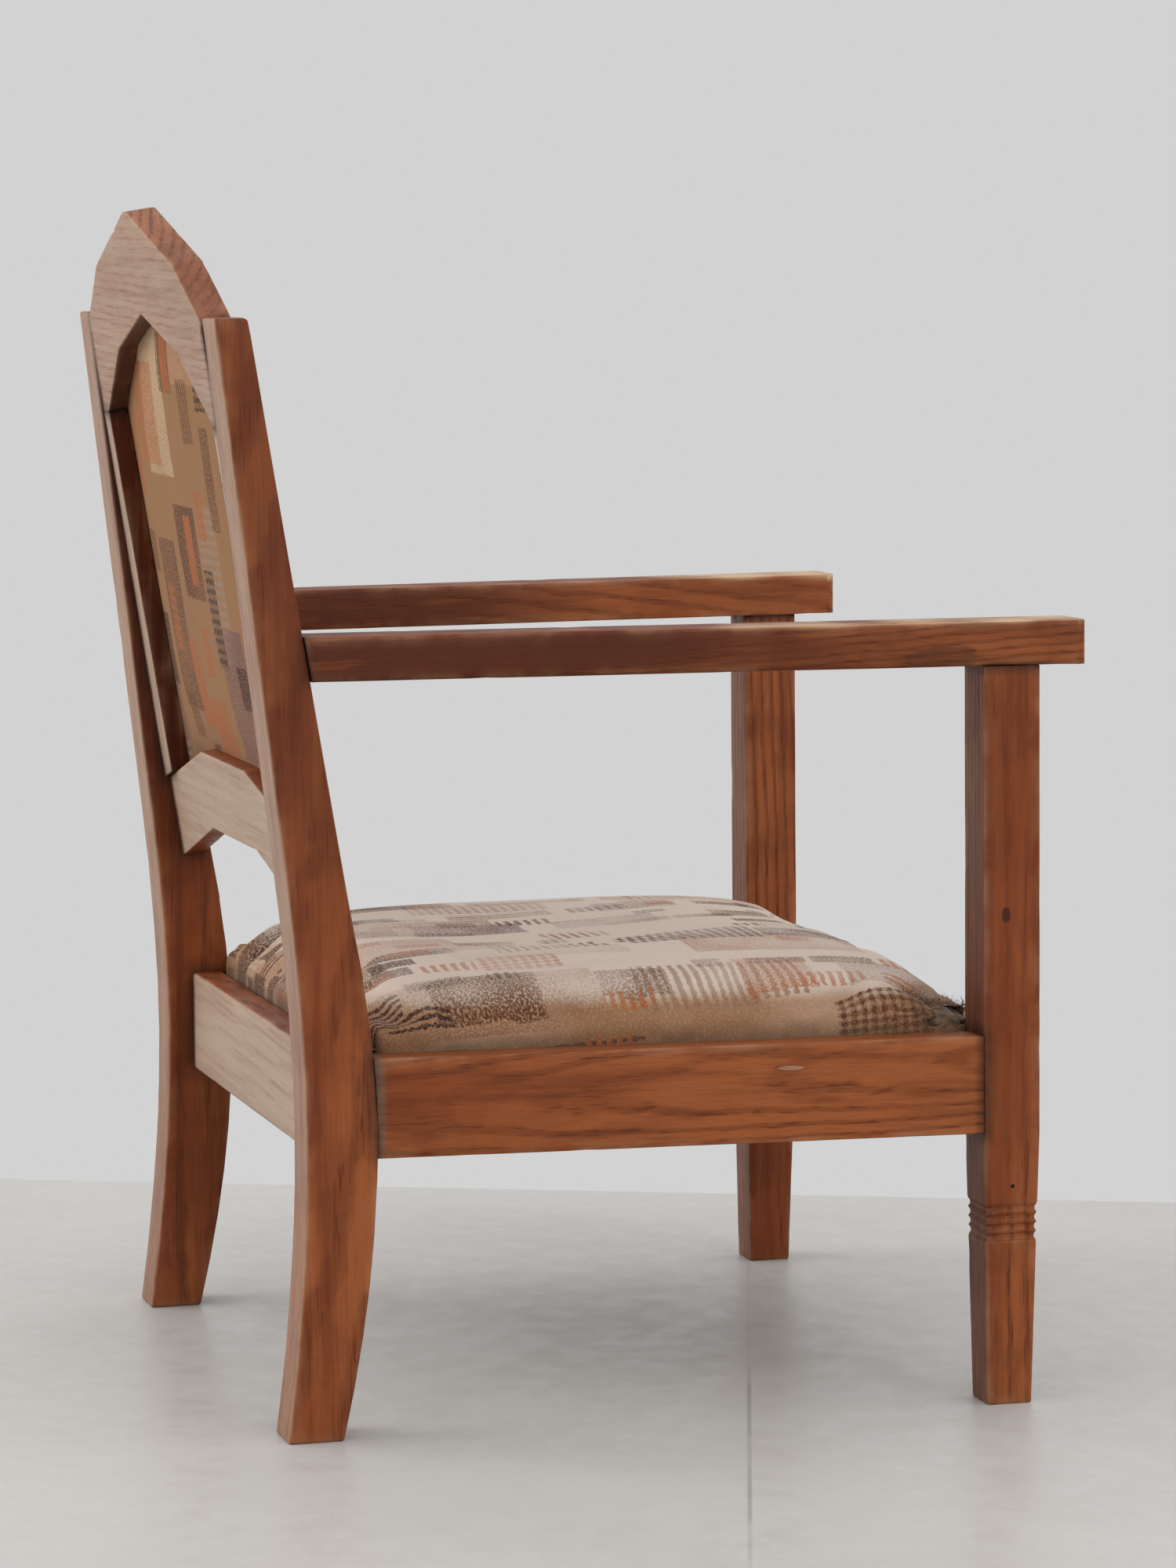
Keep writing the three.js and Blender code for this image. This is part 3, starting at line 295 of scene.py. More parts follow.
def new_finish(name, roughness, metallic=0.0, sheen=0.0, specular=0.5):
    """An empty material: its node tree, its shader, and the Object coordinates"""
    material = bpy.data.materials.new(name)
    material.use_nodes = True
    tree = material.node_tree
    shader = tree.nodes["Principled BSDF"]
    shader.inputs["Metallic"].default_value = metallic
    shader.inputs["Roughness"].default_value = roughness
    shader.inputs["Sheen Weight"].default_value = sheen
    shader.inputs["Sheen Roughness"].default_value = 0.5
    shader.inputs["Specular IOR Level"].default_value = specular
    place = put(tree, "ShaderNodeTexCoord").outputs["Object"]
    return material, tree, shader, place


def raise_surface(tree, shader, layers):
    """Stacks bumps, each a height, its strength and its depth in metres"""
    normal = None
    for height, strength, depth in layers:
        inputs = {"Height": height, "Strength": strength, "Distance": depth}
        if normal is not None:
            inputs["Normal"] = normal
        normal = put(tree, "ShaderNodeBump", inputs).outputs["Normal"]
    tree.links.new(normal, shader.inputs["Normal"])


def attribute(tree, name):
    """A value that the mesh carries at each point"""
    return put(tree, "ShaderNodeAttribute", attribute_name=name).outputs["Fac"]


# Colours of dirt and of the hidden materials
COLORS = {
    "joint_grime": (0.020, 0.008, 0.004),
    "plain_grime": (0.050, 0.033, 0.022),
    "dust": (0.170, 0.130, 0.100),
    "jute": (0.430, 0.330, 0.200),
    "jute_shade": (0.160, 0.110, 0.065),
    "jute_age": (0.200, 0.150, 0.100),
    "hessian": (0.440, 0.330, 0.200),
    "hessian_gap": (0.090, 0.062, 0.040),
    "hessian_slub": (0.250, 0.180, 0.110),
    "hair": (0.200, 0.125, 0.075),
    "hair_shade": (0.040, 0.022, 0.012),
    "tow": (0.240, 0.170, 0.110),
    "steel": (0.220, 0.200, 0.180),
    "rust": (0.160, 0.065, 0.030),
    "weave_shade": (0.080, 0.050, 0.030),
    "edge_soil": (0.100, 0.060, 0.035),
    "tear_soil": (0.075, 0.045, 0.026),
}

# Marks on the oak: where each is, its reach along each axis, its strength and its colour
MARKS = (
    ((-0.3105, -0.2660, 0.1620), (0.002, 0.0017, 0.0017), 1.0, (0.006, 0.003, 0.002)),
    ((-0.3105, -0.2610, 0.3620), (0.004, 0.0035, 0.006), 0.8, (0.030, 0.008, 0.004)),
    ((-0.2950, -0.1010, 0.2560), (0.030, 0.0090, 0.0016), 0.38, (0.50, 0.36, 0.27)),
    ((-0.3100, -0.2100, 0.5500), (0.020, 0.0300, 0.0100), 0.5, (0.035, 0.010, 0.005)),
)

# Distance from thread to thread, in millimetres
STRAP_THREAD = 2.6
HESSIAN_THREAD = 3.4
COVER_RIB = 1.9
COVER_THREAD = 1.5
# Distance from bar to bar and from rung to rung in the cover's blocks, in millimetres
BAR_PITCH = 6.4
RUNG_PITCH = 7.6

# How much longer than wide the oak's pores are, as a share of their fineness across the grain
GRAIN_DRAWN_OUT = 0.05


# Finishes


def stained_oak(name, axis, pith, tilt):
    """Worn stained oak whose grain runs along an axis, sawn from a log round the pith"""
    wood = bpy.context.scene.chair_timber
    material, tree, shader, place = new_finish(name, 0.5, specular=0.2)
    along = [1.0, 1.0, 1.0]
    along[axis] = GRAIN_DRAWN_OUT
    log = put(
        tree, "ShaderNodeMapping",
        {"Vector": place, "Location": tuple(-c for c in pith), "Rotation": tilt},
        vector_type="POINT",
    ).outputs["Vector"]
    rings = put(
        tree, "ShaderNodeTexWave",
        {"Vector": log, "Scale": 50.0, "Distortion": 2.2, "Detail": 2.0, "Detail Scale": 0.5},
        wave_type="RINGS", rings_direction="XYZ"[axis], wave_profile="SIN",
    ).outputs["Fac"]
    pores = grain_noise(tree, place, 560.0, 1.0, stretch=along)
    streaks = grain_noise(tree, place, 105.0, 3.0, stretch=along)
    figure = grain_noise(tree, place, 17.0, 2.0, stretch=[min(1.0, 3 * c) for c in along])
    blotch = grain_noise(tree, place, 19.0, 3.0, 0.62)

    early = times(tree, spread(tree, rings, 0.45, 1.0), spread(tree, figure, 0.3, 0.6, 0.25, 1.0))
    crowded = calc(tree, "MULTIPLY_ADD", early, 0.6, 0.4)
    porous = times(tree, spread(tree, pores, 0.5, 0.68), crowded)
    color = mix(tree, spread(tree, figure, 0.36, 0.66), wood.stain, wood.stain_pale)
    color = mix(tree, spread(tree, blotch, 0.42, 0.72, 0.0, 0.38), color, wood.stain_dark)
    # Painted shade where this value is above 0, a paler tone where it is below
    depth = attribute(tree, "shade_and_pale")
    color = mix(tree, times(tree, depth, 0.9), color, wood.painted_shade)
    color = mix(tree, times(tree, depth, -1.0), color, wood.stain_pale)
    color = mix(tree, spread(tree, streaks, 0.45, 0.72, 0.0, 0.45), color, wood.stain_dark)
    color = mix(tree, spread(tree, streaks, 0.45, 0.28, 0.0, 0.35), color, wood.stain_pale)
    # Painted reflection: the sheen of the window behind, laid on the rear faces as a pale colour that also
    # hides the grain's lines
    streaky = spread(tree, streaks, 0.7, 0.35, 0.74, 1.0)
    painted_sheen = times(tree, attribute(tree, "painted_sheen"), streaky)
    color = mix(tree, painted_sheen, color, wood.painted_sheen)
    shown = calc(tree, "SUBTRACT", 1.0, times(tree, painted_sheen, 0.94))
    lines = calc(tree, "MULTIPLY_ADD", porous, 0.42, times(tree, early, 0.42))
    color = mix(tree, times(tree, lines, shown), color, wood.stain_dark)

    edge = attribute(tree, "wear")
    chafe = times(tree, edge, spread(tree, blotch, 0.62, 0.35))
    color = mix(tree, times(tree, times(tree, chafe, edge), 0.26), color, wood.bare)
    thin = calc(tree, "MULTIPLY_ADD", streaks, -0.5, attribute(tree, "rubbed"))
    color = mix(tree, spread(tree, thin, 0.05, 0.55), color, wood.bare)
    for middle, reach, strength, ink in MARKS:
        gap = calc_vector(tree, "DIVIDE", calc_vector(tree, "SUBTRACT", place, middle), reach)
        far = put(tree, "ShaderNodeVectorMath", {0: gap}, operation="LENGTH").outputs["Value"]
        ragged = calc(tree, "MULTIPLY_ADD", calc(tree, "SUBTRACT", blotch, pores), 0.8, far)
        color = mix(tree, spread(tree, ragged, 1.15, 0.75, 0.0, strength), color, ink)
    color = mix(tree, times(tree, attribute(tree, "grime"), 0.8), color, COLORS["joint_grime"])

    tree.links.new(color, shader.inputs["Base Color"])
    rough = calc(tree, "MULTIPLY_ADD", blotch, 0.24, calc(tree, "MULTIPLY_ADD", porous, 0.2, 0.34))
    tree.links.new(rough, shader.inputs["Roughness"])
    raise_surface(tree, shader, [
        (times(tree, porous, -1.0), 0.3, 0.0006),
        (streaks, 0.14, 0.0006),
    ])
    return material


def plain_wood():
    """Bare, dusty softwood of the parts that the cloth hides"""
    wood = bpy.context.scene.chair_timber
    material, tree, shader, place = new_finish("plain_wood", 0.8, specular=0.3)
    fibres = grain_noise(tree, place, 160.0, 4.0, stretch=(0.15, 0.4, 1.0))
    dust = grain_noise(tree, place, 15.0, 4.0, 0.65)
    color = mix(tree, spread(tree, fibres, 0.3, 0.7), wood.plain, tuple(0.62 * c for c in wood.plain))
    color = mix(tree, times(tree, spread(tree, dust, 0.4, 0.75), 0.55), color, COLORS["dust"])
    color = mix(tree, times(tree, attribute(tree, "grime"), 0.6), color, COLORS["plain_grime"])
    tree.links.new(color, shader.inputs["Base Color"])
    raise_surface(tree, shader, [(fibres, 0.4, 0.0008)])
    return material


def jute_webbing():
    """Coarse woven strap"""
    material, tree, shader, place = new_finish("jute_webbing", 0.92, sheen=0.15, specular=0.2)
    x, y, z = put(tree, "ShaderNodeSeparateXYZ", {0: place}).outputs
    up_and_along = calc(tree, "ADD", wave(tree, y, STRAP_THREAD), wave(tree, z, STRAP_THREAD))
    weave = times(tree, wave(tree, x, STRAP_THREAD), up_and_along)
    fluff = grain_noise(tree, place, 400.0, 3.0)
    age = grain_noise(tree, place, 18.0, 3.0)
    color = mix(tree, spread(tree, weave, -1.2, 1.2), COLORS["jute_shade"], COLORS["jute"])
    color = mix(tree, times(tree, spread(tree, age, 0.35, 0.7), 0.5), color, COLORS["jute_age"])
    tree.links.new(color, shader.inputs["Base Color"])
    raise_surface(tree, shader, [(weave, 0.6, 0.0006), (fluff, 0.3, 0.0006)])
    return material


def base_cloth_finish():
    """Open hessian"""
    material, tree, shader, place = new_finish("base_hessian", 0.95, sheen=0.1, specular=0.15)
    x, y, _ = put(tree, "ShaderNodeSeparateXYZ", {0: place}).outputs
    threads = calc(tree, "MAXIMUM", wave(tree, x, HESSIAN_THREAD), wave(tree, y, HESSIAN_THREAD))
    slub = grain_noise(tree, place, 90.0, 3.0)
    color = mix(tree, spread(tree, threads, -0.3, 0.9), COLORS["hessian_gap"], COLORS["hessian"])
    color = mix(tree, times(tree, spread(tree, slub, 0.4, 0.7), 0.4), color, COLORS["hessian_slub"])
    tree.links.new(color, shader.inputs["Base Color"])
    raise_surface(tree, shader, [(threads, 0.7, 0.0008), (slub, 0.3, 0.001)])
    return material


def hair_stuffing():
    """Matted hair and tow"""
    material, tree, shader, place = new_finish("hair_stuffing", 0.9, sheen=0.1, specular=0.25)
    strands = grain_noise(tree, place, 220.0, 5.0, 0.7, stretch=(1.0, 0.35, 0.7))
    clumps = grain_noise(tree, place, 60.0, 4.0, 0.6)
    color = mix(tree, spread(tree, strands, 0.3, 0.65), COLORS["hair_shade"], COLORS["hair"])
    color = mix(tree, spread(tree, clumps, 0.45, 0.75, 0.0, 0.6), color, COLORS["tow"])
    tree.links.new(color, shader.inputs["Base Color"])
    raise_surface(tree, shader, [(strands, 0.9, 0.002), (clumps, 0.6, 0.004)])
    return material


def nail_steel():
    """Dull steel with rust"""
    material, tree, shader, place = new_finish("nail_steel", 0.55, metallic=0.85)
    rust = grain_noise(tree, place, 300.0, 4.0, 0.6)
    color = mix(tree, spread(tree, rust, 0.4, 0.65), COLORS["steel"], COLORS["rust"])
    tree.links.new(color, shader.inputs["Base Color"])
    raise_surface(tree, shader, [(rust, 0.4, 0.0005)])
    return material


# Cloth pattern: three layers of scattered blocks, one in a cell at most. Each has the width and height
# of its cell, the number that starts its draws, the share of cells that hold a block, and its colours.
BLOCKS = (
    ((0.092, 0.176), 3.0, 0.85, ("rose", "cream", "tan", "dove")),
    ((0.064, 0.110), 9.0, 0.82, ("brown", "umber", "rust", "plum", "brown")),
    ((0.037, 0.052), 17.0, 0.38, ("umber", "rust", "brown")),
)
INK = {
    "umber": (0.050, 0.016, 0.008),
    "brown": (0.120, 0.046, 0.020),
    "tan": (0.290, 0.165, 0.095),
    "rust": (0.380, 0.120, 0.038),
    "plum": (0.175, 0.098, 0.110),
    "rose": (0.430, 0.265, 0.190),
    "dove": (0.330, 0.245, 0.205),
    "cream": (0.500, 0.400, 0.300),
}
# What fills a block, one of these in turn: shares of pile, of bars and of rungs
FILLING_SHARES = (
    (1, 0, 0),
    (0, 1, 0),
    (1, 0, 0),
    (0, 0, 1),
    (1, 0, 0),
    (0, 1, 0),
    (1, 0, 0),
    (0, 0.6, 0.6),
)
# What the cloth's colours are multiplied by away from its faded, painted-lit top, and how much larger the
# back's blocks are
SEAT_TINT = (0.93, 0.80, 0.72)
BACK_TINT = (0.90, 0.76, 0.60)
BACK_BLOCKS = 1.5
# How far the edges of the blocks stray, in metres
RAGGED = 0.0036
# How far each column of blocks is shifted against the one before, as a share of a cell
COLUMN_SHIFT = 0.37


def choice(tree, value, colors):
    """Picks one colour by a value between 0 and 1"""
    ramp = put(tree, "ShaderNodeValToRGB", {0: value})
    ramp.color_ramp.interpolation = "CONSTANT"
    stops = ramp.color_ramp.elements
    while len(stops) < len(colors):
        stops.new(0.5)
    for i, color in enumerate(colors):
        stops[i].position = i / len(colors)
        stops[i].color = (*color, 1)
    return ramp.outputs[0]


def block_layer(tree, u, v, cell, seed, share, inks, fillings):
    """Where one layer of blocks covers the cloth, and their colour"""
    across = times(tree, u, 1 / cell[0])
    column = calc(tree, "FLOOR", across)
    up = calc(tree, "MULTIPLY_ADD", column, COLUMN_SHIFT, times(tree, v, 1 / cell[1]))
    row = calc(tree, "FLOOR", up)
    spot = put(tree, "ShaderNodeCombineXYZ", {0: column, 1: row, 2: seed}).outputs[0]
    drawn = put(tree, "ShaderNodeTexWhiteNoise", {"Vector": spot})
    other = put(tree, "ShaderNodeCombineXYZ", {0: row, 1: column, 2: seed + 0.5}).outputs[0]
    kind = put(tree, "ShaderNodeTexWhiteNoise", {"Vector": other})
    sizes = put(tree, "ShaderNodeSeparateColor", {0: drawn.outputs["Color"]}).outputs

    def inside(value, size):
        """1 where a value is in the middle part of its cell"""
        off = calc(tree, "ABSOLUTE", calc(tree, "SUBTRACT", calc(tree, "FRACT", value), 0.5))
        return calc(tree, "LESS_THAN", off, calc(tree, "MULTIPLY_ADD", size, 0.3, 0.2))

    cover = times(tree, inside(across, sizes[0]), inside(up, sizes[1]))
    cover = times(tree, cover, calc(tree, "LESS_THAN", drawn.outputs["Value"], share))
    picked = choice(tree, kind.outputs["Value"], FILLING_SHARES)
    matched = put(tree, "ShaderNodeVectorMath", {0: picked, 1: fillings}, operation="DOT_PRODUCT")
    ink = choice(tree, sizes[2], [INK[name] for name in inks])
    return times(tree, cover, matched.outputs["Value"]), ink


def cover_cloth(name, ground, tint, scale, soil_low, soil_high):
    """Worn woven cloth with a generic pattern of blocks of one scale, soiled between two heights"""
    cloth = bpy.context.scene.chair_cloth
    material, tree, shader, place = new_finish(name, 0.92, sheen=0.07, specular=0.1)
    flat = put(tree, "ShaderNodeUVMap", uv_map="cloth").outputs["UV"]
    noisy = put(tree, "ShaderNodeTexNoise", {"Vector": flat, "Scale": 380.0, "Detail": 1.0})
    shake = calc_vector(tree, "SUBTRACT", noisy.outputs["Color"], (0.5, 0.5, 0.5))
    shake = calc_vector(tree, "MULTIPLY", shake, (RAGGED, RAGGED, RAGGED))
    laid = calc_vector(tree, "ADD", flat, shake)
    u, v = put(tree, "ShaderNodeSeparateXYZ", {0: laid}).outputs[:2]
    block_u, block_v = times(tree, u, 1 / scale), times(tree, v, 1 / scale)

    pile = grain_noise(tree, flat, 520.0, 2.0, 0.6)
    worn = put(tree, "ShaderNodeTexNoise", {"Vector": flat, "Scale": 9.0, "Detail": 3.0}).outputs["Fac"]
    bald = spread(tree, calc(tree, "MULTIPLY_ADD", worn, 0.5, pile), 0.66, 0.86)
    fillings = put(tree, "ShaderNodeCombineXYZ", {
        0: calc(tree, "SUBTRACT", 1.0, times(tree, bald, 0.75)),
        1: spread(tree, wave(tree, u, BAR_PITCH), -0.3, 0.2),
        2: spread(tree, wave(tree, v, RUNG_PITCH), -0.3, 0.2),
    }).outputs[0]
    # The top is faded and also painted lighter for the light from above; its blocks lose their ink there
    faded_and_lit = attribute(tree, "faded_and_lit")
    patchy = spread(tree, worn, 0.35, 0.65, 0.55, 1.0)
    aged = times(tree, patchy, spread(tree, faded_and_lit, 0.0, 0.5, 1.0, 0.3))
    color = mix(tree, aged, ground, cloth.ground_aged)
    color = mix(tree, times(tree, faded_and_lit, 1.2), color, cloth.faded_and_lit)
    lost = times(tree, faded_and_lit, spread(tree, worn, 0.35, 0.65, 0.3, 1.15))
    strength = calc(tree, "SUBTRACT", 1.0, lost)
    for cell, seed, share, inks in BLOCKS:
        cover, ink = block_layer(tree, block_u, block_v, cell, seed, share, inks, fillings)
        color = mix(tree, times(tree, cover, strength), color, ink)

    kept = spread(tree, faded_and_lit, 0.0, 0.3, 1.0, 0.0)
    color = mix(tree, kept, color, tint, "MULTIPLY")
    weave = times(tree, wave(tree, v, COVER_RIB), wave(tree, u, COVER_THREAD))
    color = mix(tree, spread(tree, weave, -1.0, 1.0, 0.0, 0.14), color, COLORS["weave_shade"])
    color = mix(tree, spread(tree, pile, 0.45, 0.75, 0.0, 0.25), color, tuple(1.15 * c for c in ground))
    height = put(tree, "ShaderNodeSeparateXYZ", {0: place}).outputs[2]
    dirt = grain_noise(tree, place, 24.0, 3.0, 0.6)
    near_edge = spread(tree, height, soil_high, soil_low)
    soil = times(tree, near_edge, spread(tree, dirt, 0.3, 0.65, 0.3, 0.7))
    color = mix(tree, soil, color, COLORS["edge_soil"])
    color = mix(tree, attribute(tree, "soil"), color, COLORS["tear_soil"])
    tree.links.new(color, shader.inputs["Base Color"])
    raise_surface(tree, shader, [
        (weave, 0.3, 0.0005),
        (pile, 0.5, 0.0009),
    ])
    return material


# Pieces


def object_of(name, bm):
    """An object whose mesh is that of a bmesh, which is freed"""
    mesh = bpy.data.meshes.new(name)
    bm.to_mesh(mesh)
    bm.free()
    piece = bpy.data.objects.new(name, mesh)
    bpy.context.scene.collection.objects.link(piece)
    return piece


def dress(piece, material, replaced):
    """Makes an object a finished piece of the chair that stands for some of its nodes"""
    piece.data.materials.clear()
    piece.data.materials.append(material)
    piece.data.shade_smooth()
    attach(piece, ROOT)
    for node in replaced:
        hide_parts(node)


def finish_nodes(names, material):
    """Gives nodes that need no new shape their finish"""
    for name in names:
        NODES[name].data.materials.clear()
        NODES[name].data.materials.append(material)


# Timber


# Which edges of a timber are eased: sharp ones, long enough and not at a joint
SHARP_EDGE = math.radians(22)
SHORT_EDGE = 0.012
JOINED_WITHIN = 0.0009
# Where the mesh is merged and shaded smooth
MERGE_WITHIN = 0.00008
SMOOTH_BELOW = math.radians(40)
# How far wear reaches past an eased edge, how far off a joint is looked for, and how far its grime reaches
WEAR_REACH = 0.004
SEARCH_REACH = 0.02
JOINT_REACH = 0.012
# How many dents and waves there are to a metre, roughly, and how strong a dent's noise must be to show
DENT_FINENESS = 55
DENT_START = 0.28
WAVE_FINENESS = 15
# The arms' rubbed tops: how far back from the front end they are palest, how far that fades, and how
# far down the arm's side the rubbing reaches and fades
RUB_LENGTH = 0.32
RUB_FADE = 0.30
RUB_DEPTH = 0.0085
RUB_DEPTH_FADE = 0.0065
# How far the painted shade deepens along an arm, and how far a side rail pales: from where, and over what
# length
ARM_SHADE_FROM = 0.10
ARM_SHADE_OVER = 0.22
RAIL_PALE_FROM = 0.03
RAIL_PALE_OVER = 0.20
# Heights above which the back posts get the most painted sheen on their rear faces and the most painted
# shade on their sides, and over what height
POST_SHEEN_FROM = 0.15
POST_SHEEN_OVER = 0.25
POST_SHADE_FROM = 0.30
POST_SHADE_OVER = 0.2
# Half the width of the crest between the posts
CREST_REVEAL_HALF = 0.213


def solid_of(node):
    """A node's own mesh with its loose triangles joined and its flat faces whole"""
    bm = bmesh.new()
    bm.from_mesh(NODES[node].data)
    bmesh.ops.remove_doubles(bm, verts=bm.verts, dist=0.00002)
    bmesh.ops.dissolve_limit(
        bm, angle_limit=math.radians(0.4), verts=bm.verts, edges=bm.edges, use_dissolve_boundaries=False,
    )
    return bm


def tree_without(node, names):
    """A search tree of every other timber, to find where this one is joined"""
    points, faces = [], []
    for name in names:
        if name == node:
            continue
        start = len(points)
        mesh = NODES[name].data
        points += [v.co.copy() for v in mesh.vertices]
        faces += [[start + i for i in p.vertices] for p in mesh.polygons]
    return BVHTree.FromPolygons(points, faces)


def slice_up(bm, steps):
    """Cuts the mesh by evenly spaced planes along each axis"""
    for axis, step in enumerate(steps):
        places = [v.co[axis] for v in bm.verts]
        low, high = min(places), max(places)
        count = max(1, round((high - low) / step))
        for i in range(1, count):
            at, normal = Vector(), Vector()
            at[axis] = low + (high - low) * i / count
            normal[axis] = 1
            geom = bm.verts[:] + bm.edges[:] + bm.faces[:]
            bmesh.ops.bisect_plane(bm, geom=geom, dist=0.00001, plane_co=at, plane_no=normal)


def near_segment(point, start, end):
    """Distance from a point to a stretch of edge"""
    run = end - start
    share = held_in_unit((point - start).dot(run) / max(run.length_squared, 1e-12))
    return (point - start - run * share).length


def rubbed_at(node, box, place, normal):
    """How far hands have worn the finish through: the arms' tops, most at their front ends"""
    if not node.startswith("arm_"):
        return 0.0
    low, high = box
    forward = held_in_unit((low.y + RUB_LENGTH - place.y) / RUB_FADE)
    top = held_in_unit((place.z - high.z + RUB_DEPTH) / RUB_DEPTH_FADE)
    facing = max(0.0, normal.z)
    patchy = 0.75 + 0.5 * noise.noise(place * 22)
    return top * (0.40 + 0.60 * forward) * (0.55 + 0.45 * facing) * patchy


def painted_sheen_at(node, place, normal):
    """How much of the window's sheen is painted on a face: most on the back's rear faces, little behind the
    front legs
    """
    facing = held_in_unit(normal.y * 1.5 - 0.4)
    if node.startswith(("front", "arm")):
        return facing * 0.15
    if node == "crest_rail":
        return max(facing * 0.74, 0.12 * abs(normal.x) + 0.12 * max(0.0, normal.z))
    if node.startswith("back_post"):
        high_up = held_in_unit((place.z - POST_SHEEN_FROM) / POST_SHEEN_OVER)
        return facing * (0.45 + 0.25 * high_up)
    return facing


def shade_and_pale_at(node, box, place, normal):
    """How much shade is painted on a face, from -1 for a paler tone to 1 for the reveal of the back's
    opening
    """
    if node.startswith("back_stile"):
        return 0.9
    if node == "crest_rail":
        below = held_in_unit(-normal.z * 3 + 0.3) if abs(place.x) <= CREST_REVEAL_HALF else 0.0
        return below * (1 - held_in_unit(abs(normal.y) * 2 - 0.8))
    low, high = box
    if node.startswith("arm_"):
        rear = held_in_unit((place.y - low.y - ARM_SHADE_FROM) / ARM_SHADE_OVER)
        fore = -0.7 if place.x * normal.x < 0 else 0.15
        return (fore + (0.8 - fore) * rear) * (1 - max(0.0, normal.z))
    if node.startswith("side_rail"):
        return -held_in_unit((high.y - RAIL_PALE_FROM - place.y) / RAIL_PALE_OVER)
    # Painted shade on the front legs' rear faces, under the arms
    if node.startswith("front_leg"):
        return 0.5 * max(0.0, normal.y)
    if node.startswith("back_post"):
        inner = 0.75 if place.x * normal.x < 0 else 0.35
        return inner * held_in_unit((place.z - POST_SHADE_FROM) / POST_SHADE_OVER) * abs(normal.x)
    return 0.0


def free_edges_of(bm, others):
    """The sharp edges of a timber that no other timber touches"""
    free = []
    for edge in bm.edges:
        if len(edge.link_faces) != 2 or edge.calc_face_angle(0.0) < SHARP_EDGE:
            continue
        start, end = (v.co for v in edge.verts)
        touched = others.find_nearest((start + end) / 2, JOINED_WITHIN)[0] is not None
        if (start - end).length >= SHORT_EDGE and not touched:
            free.append(edge)
    return free


def age_surface(bm, node, segments, others, reach):
    """Marks each point with its wear, and moves it by its dents and by the planed face's waves"""
    wood = bpy.context.scene.chair_timber
    names = ("wear", "rubbed", "painted_sheen", "shade_and_pale", "grime")
    layers = [bm.verts.layers.float.new(name) for name in names]
    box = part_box(node)
    for vert in bm.verts:
        edge_gap = min((near_segment(vert.co, *s) for s in segments), default=1.0)
        wear = max(0.0, 1 - edge_gap / reach)
        hit = others.find_nearest(vert.co, SEARCH_REACH)
        joint = 0.0 if hit[0] is None else max(0.0, 1 - hit[3] / JOINT_REACH)
        free = 1 - min(1.0, joint * 1.6)
        bumpy = noise.noise(vert.co * DENT_FINENESS + Vector((7, 3, 1)))
        dent = max(0.0, bumpy - DENT_START) * wear * free
        wave_height = noise.noise(vert.co * WAVE_FINENESS + Vector((2, 9, 4))) * wood.waviness
        rubbed = rubbed_at(node, box, vert.co, vert.normal)
        painted_sheen = painted_sheen_at(node, vert.co, vert.normal)
        shade_and_pale = shade_and_pale_at(node, box, vert.co, vert.normal)
        for layer, value in zip(layers, (wear, rubbed, painted_sheen, shade_and_pale, joint ** 3)):
            vert[layer] = value
        vert.co += vert.normal * ((wave_height - dent * wood.dents) * free)


def worn_timber(node, radius, material, names, along_axis):
    """One timber with eased edges, planing marks, dents and the marks of its joints"""
    wood = bpy.context.scene.chair_timber
    others = tree_without(node, names)
    bm = solid_of(node)
    free_edges = free_edges_of(bm, others)
    segments = [(e.verts[0].co.copy(), e.verts[1].co.copy()) for e in free_edges]
    bmesh.ops.bevel(
        bm, geom=free_edges, offset=radius * MM, offset_type="OFFSET", segments=3,
        profile=0.5, affect="EDGES", clamp_overlap=False, material=-1,
    )
    steps = [wood.slice_along * 0.9] * 3
    steps[along_axis] = wood.slice_along
    slice_up(bm, steps)
    bmesh.ops.remove_doubles(bm, verts=bm.verts, dist=MERGE_WITHIN)
    bm.normal_update()
    age_surface(bm, node, segments, others, radius * MM + WEAR_REACH)
    piece = object_of(f"{node}_worn", bm)
    dress(piece, material, [node])
    piece.data.set_sharp_from_angle(angle=SMOOTH_BELOW)


class CHAIR_OT_timber(bpy.types.Operator):
    """Makes the stained oak pieces with worn edges and their grain"""

    bl_idname = "chair.timber"
    bl_label = "Oak timber"

    def execute(self, context):
        names = [*UPRIGHTS, *LENGTHWAYS, *CROSSWAYS]
        upright = stained_oak("oak_upright", 2, (0.9, 0.4, 0.0), (0.05, 0.03, 0.0))
        lengthways = stained_oak("oak_lengthways", 1, (-0.335, 0.0, 0.243), (0.06, 0.0, 0.035))
        crossways = stained_oak("oak_crossways", 0, (0.0, 0.36, 0.9), (0.0, 0.05, 0.04))
        for group, material, axis in (
            (UPRIGHTS, upright, 2), (LENGTHWAYS, lengthways, 1), (CROSSWAYS, crossways, 0),
        ):
            for node, radius in group.items():
                worn_timber(node, radius, material, names, axis)
        return {"FINISHED"}


class CHAIR_OT_hidden_timber(bpy.types.Operator):
    """Makes the plain wood of the seat's frame, its bearers and the corner braces"""

    bl_idname = "chair.hidden_timber"
    bl_label = "Hidden timber"

    def execute(self, context):
        material = plain_wood()
        names = [*UPRIGHTS, *LENGTHWAYS, *CROSSWAYS, *PLAIN_TIMBERS]
        for node, radius in PLAIN_TIMBERS.items():
            low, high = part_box(node)
            size = high - low
            axis = list(size).index(max(size))
            worn_timber(node, radius, material, names, axis)
        finish_nodes(PANEL_FRAME, material)
        return {"FINISHED"}


class CHAIR_OT_nails(bpy.types.Operator):
    """Gives the corner braces' nails their rusty steel"""

    bl_idname = "chair.nails"
    bl_label = "Nails"

    def execute(self, context):
        finish_nodes(NAILS, nail_steel())
        return {"FINISHED"}


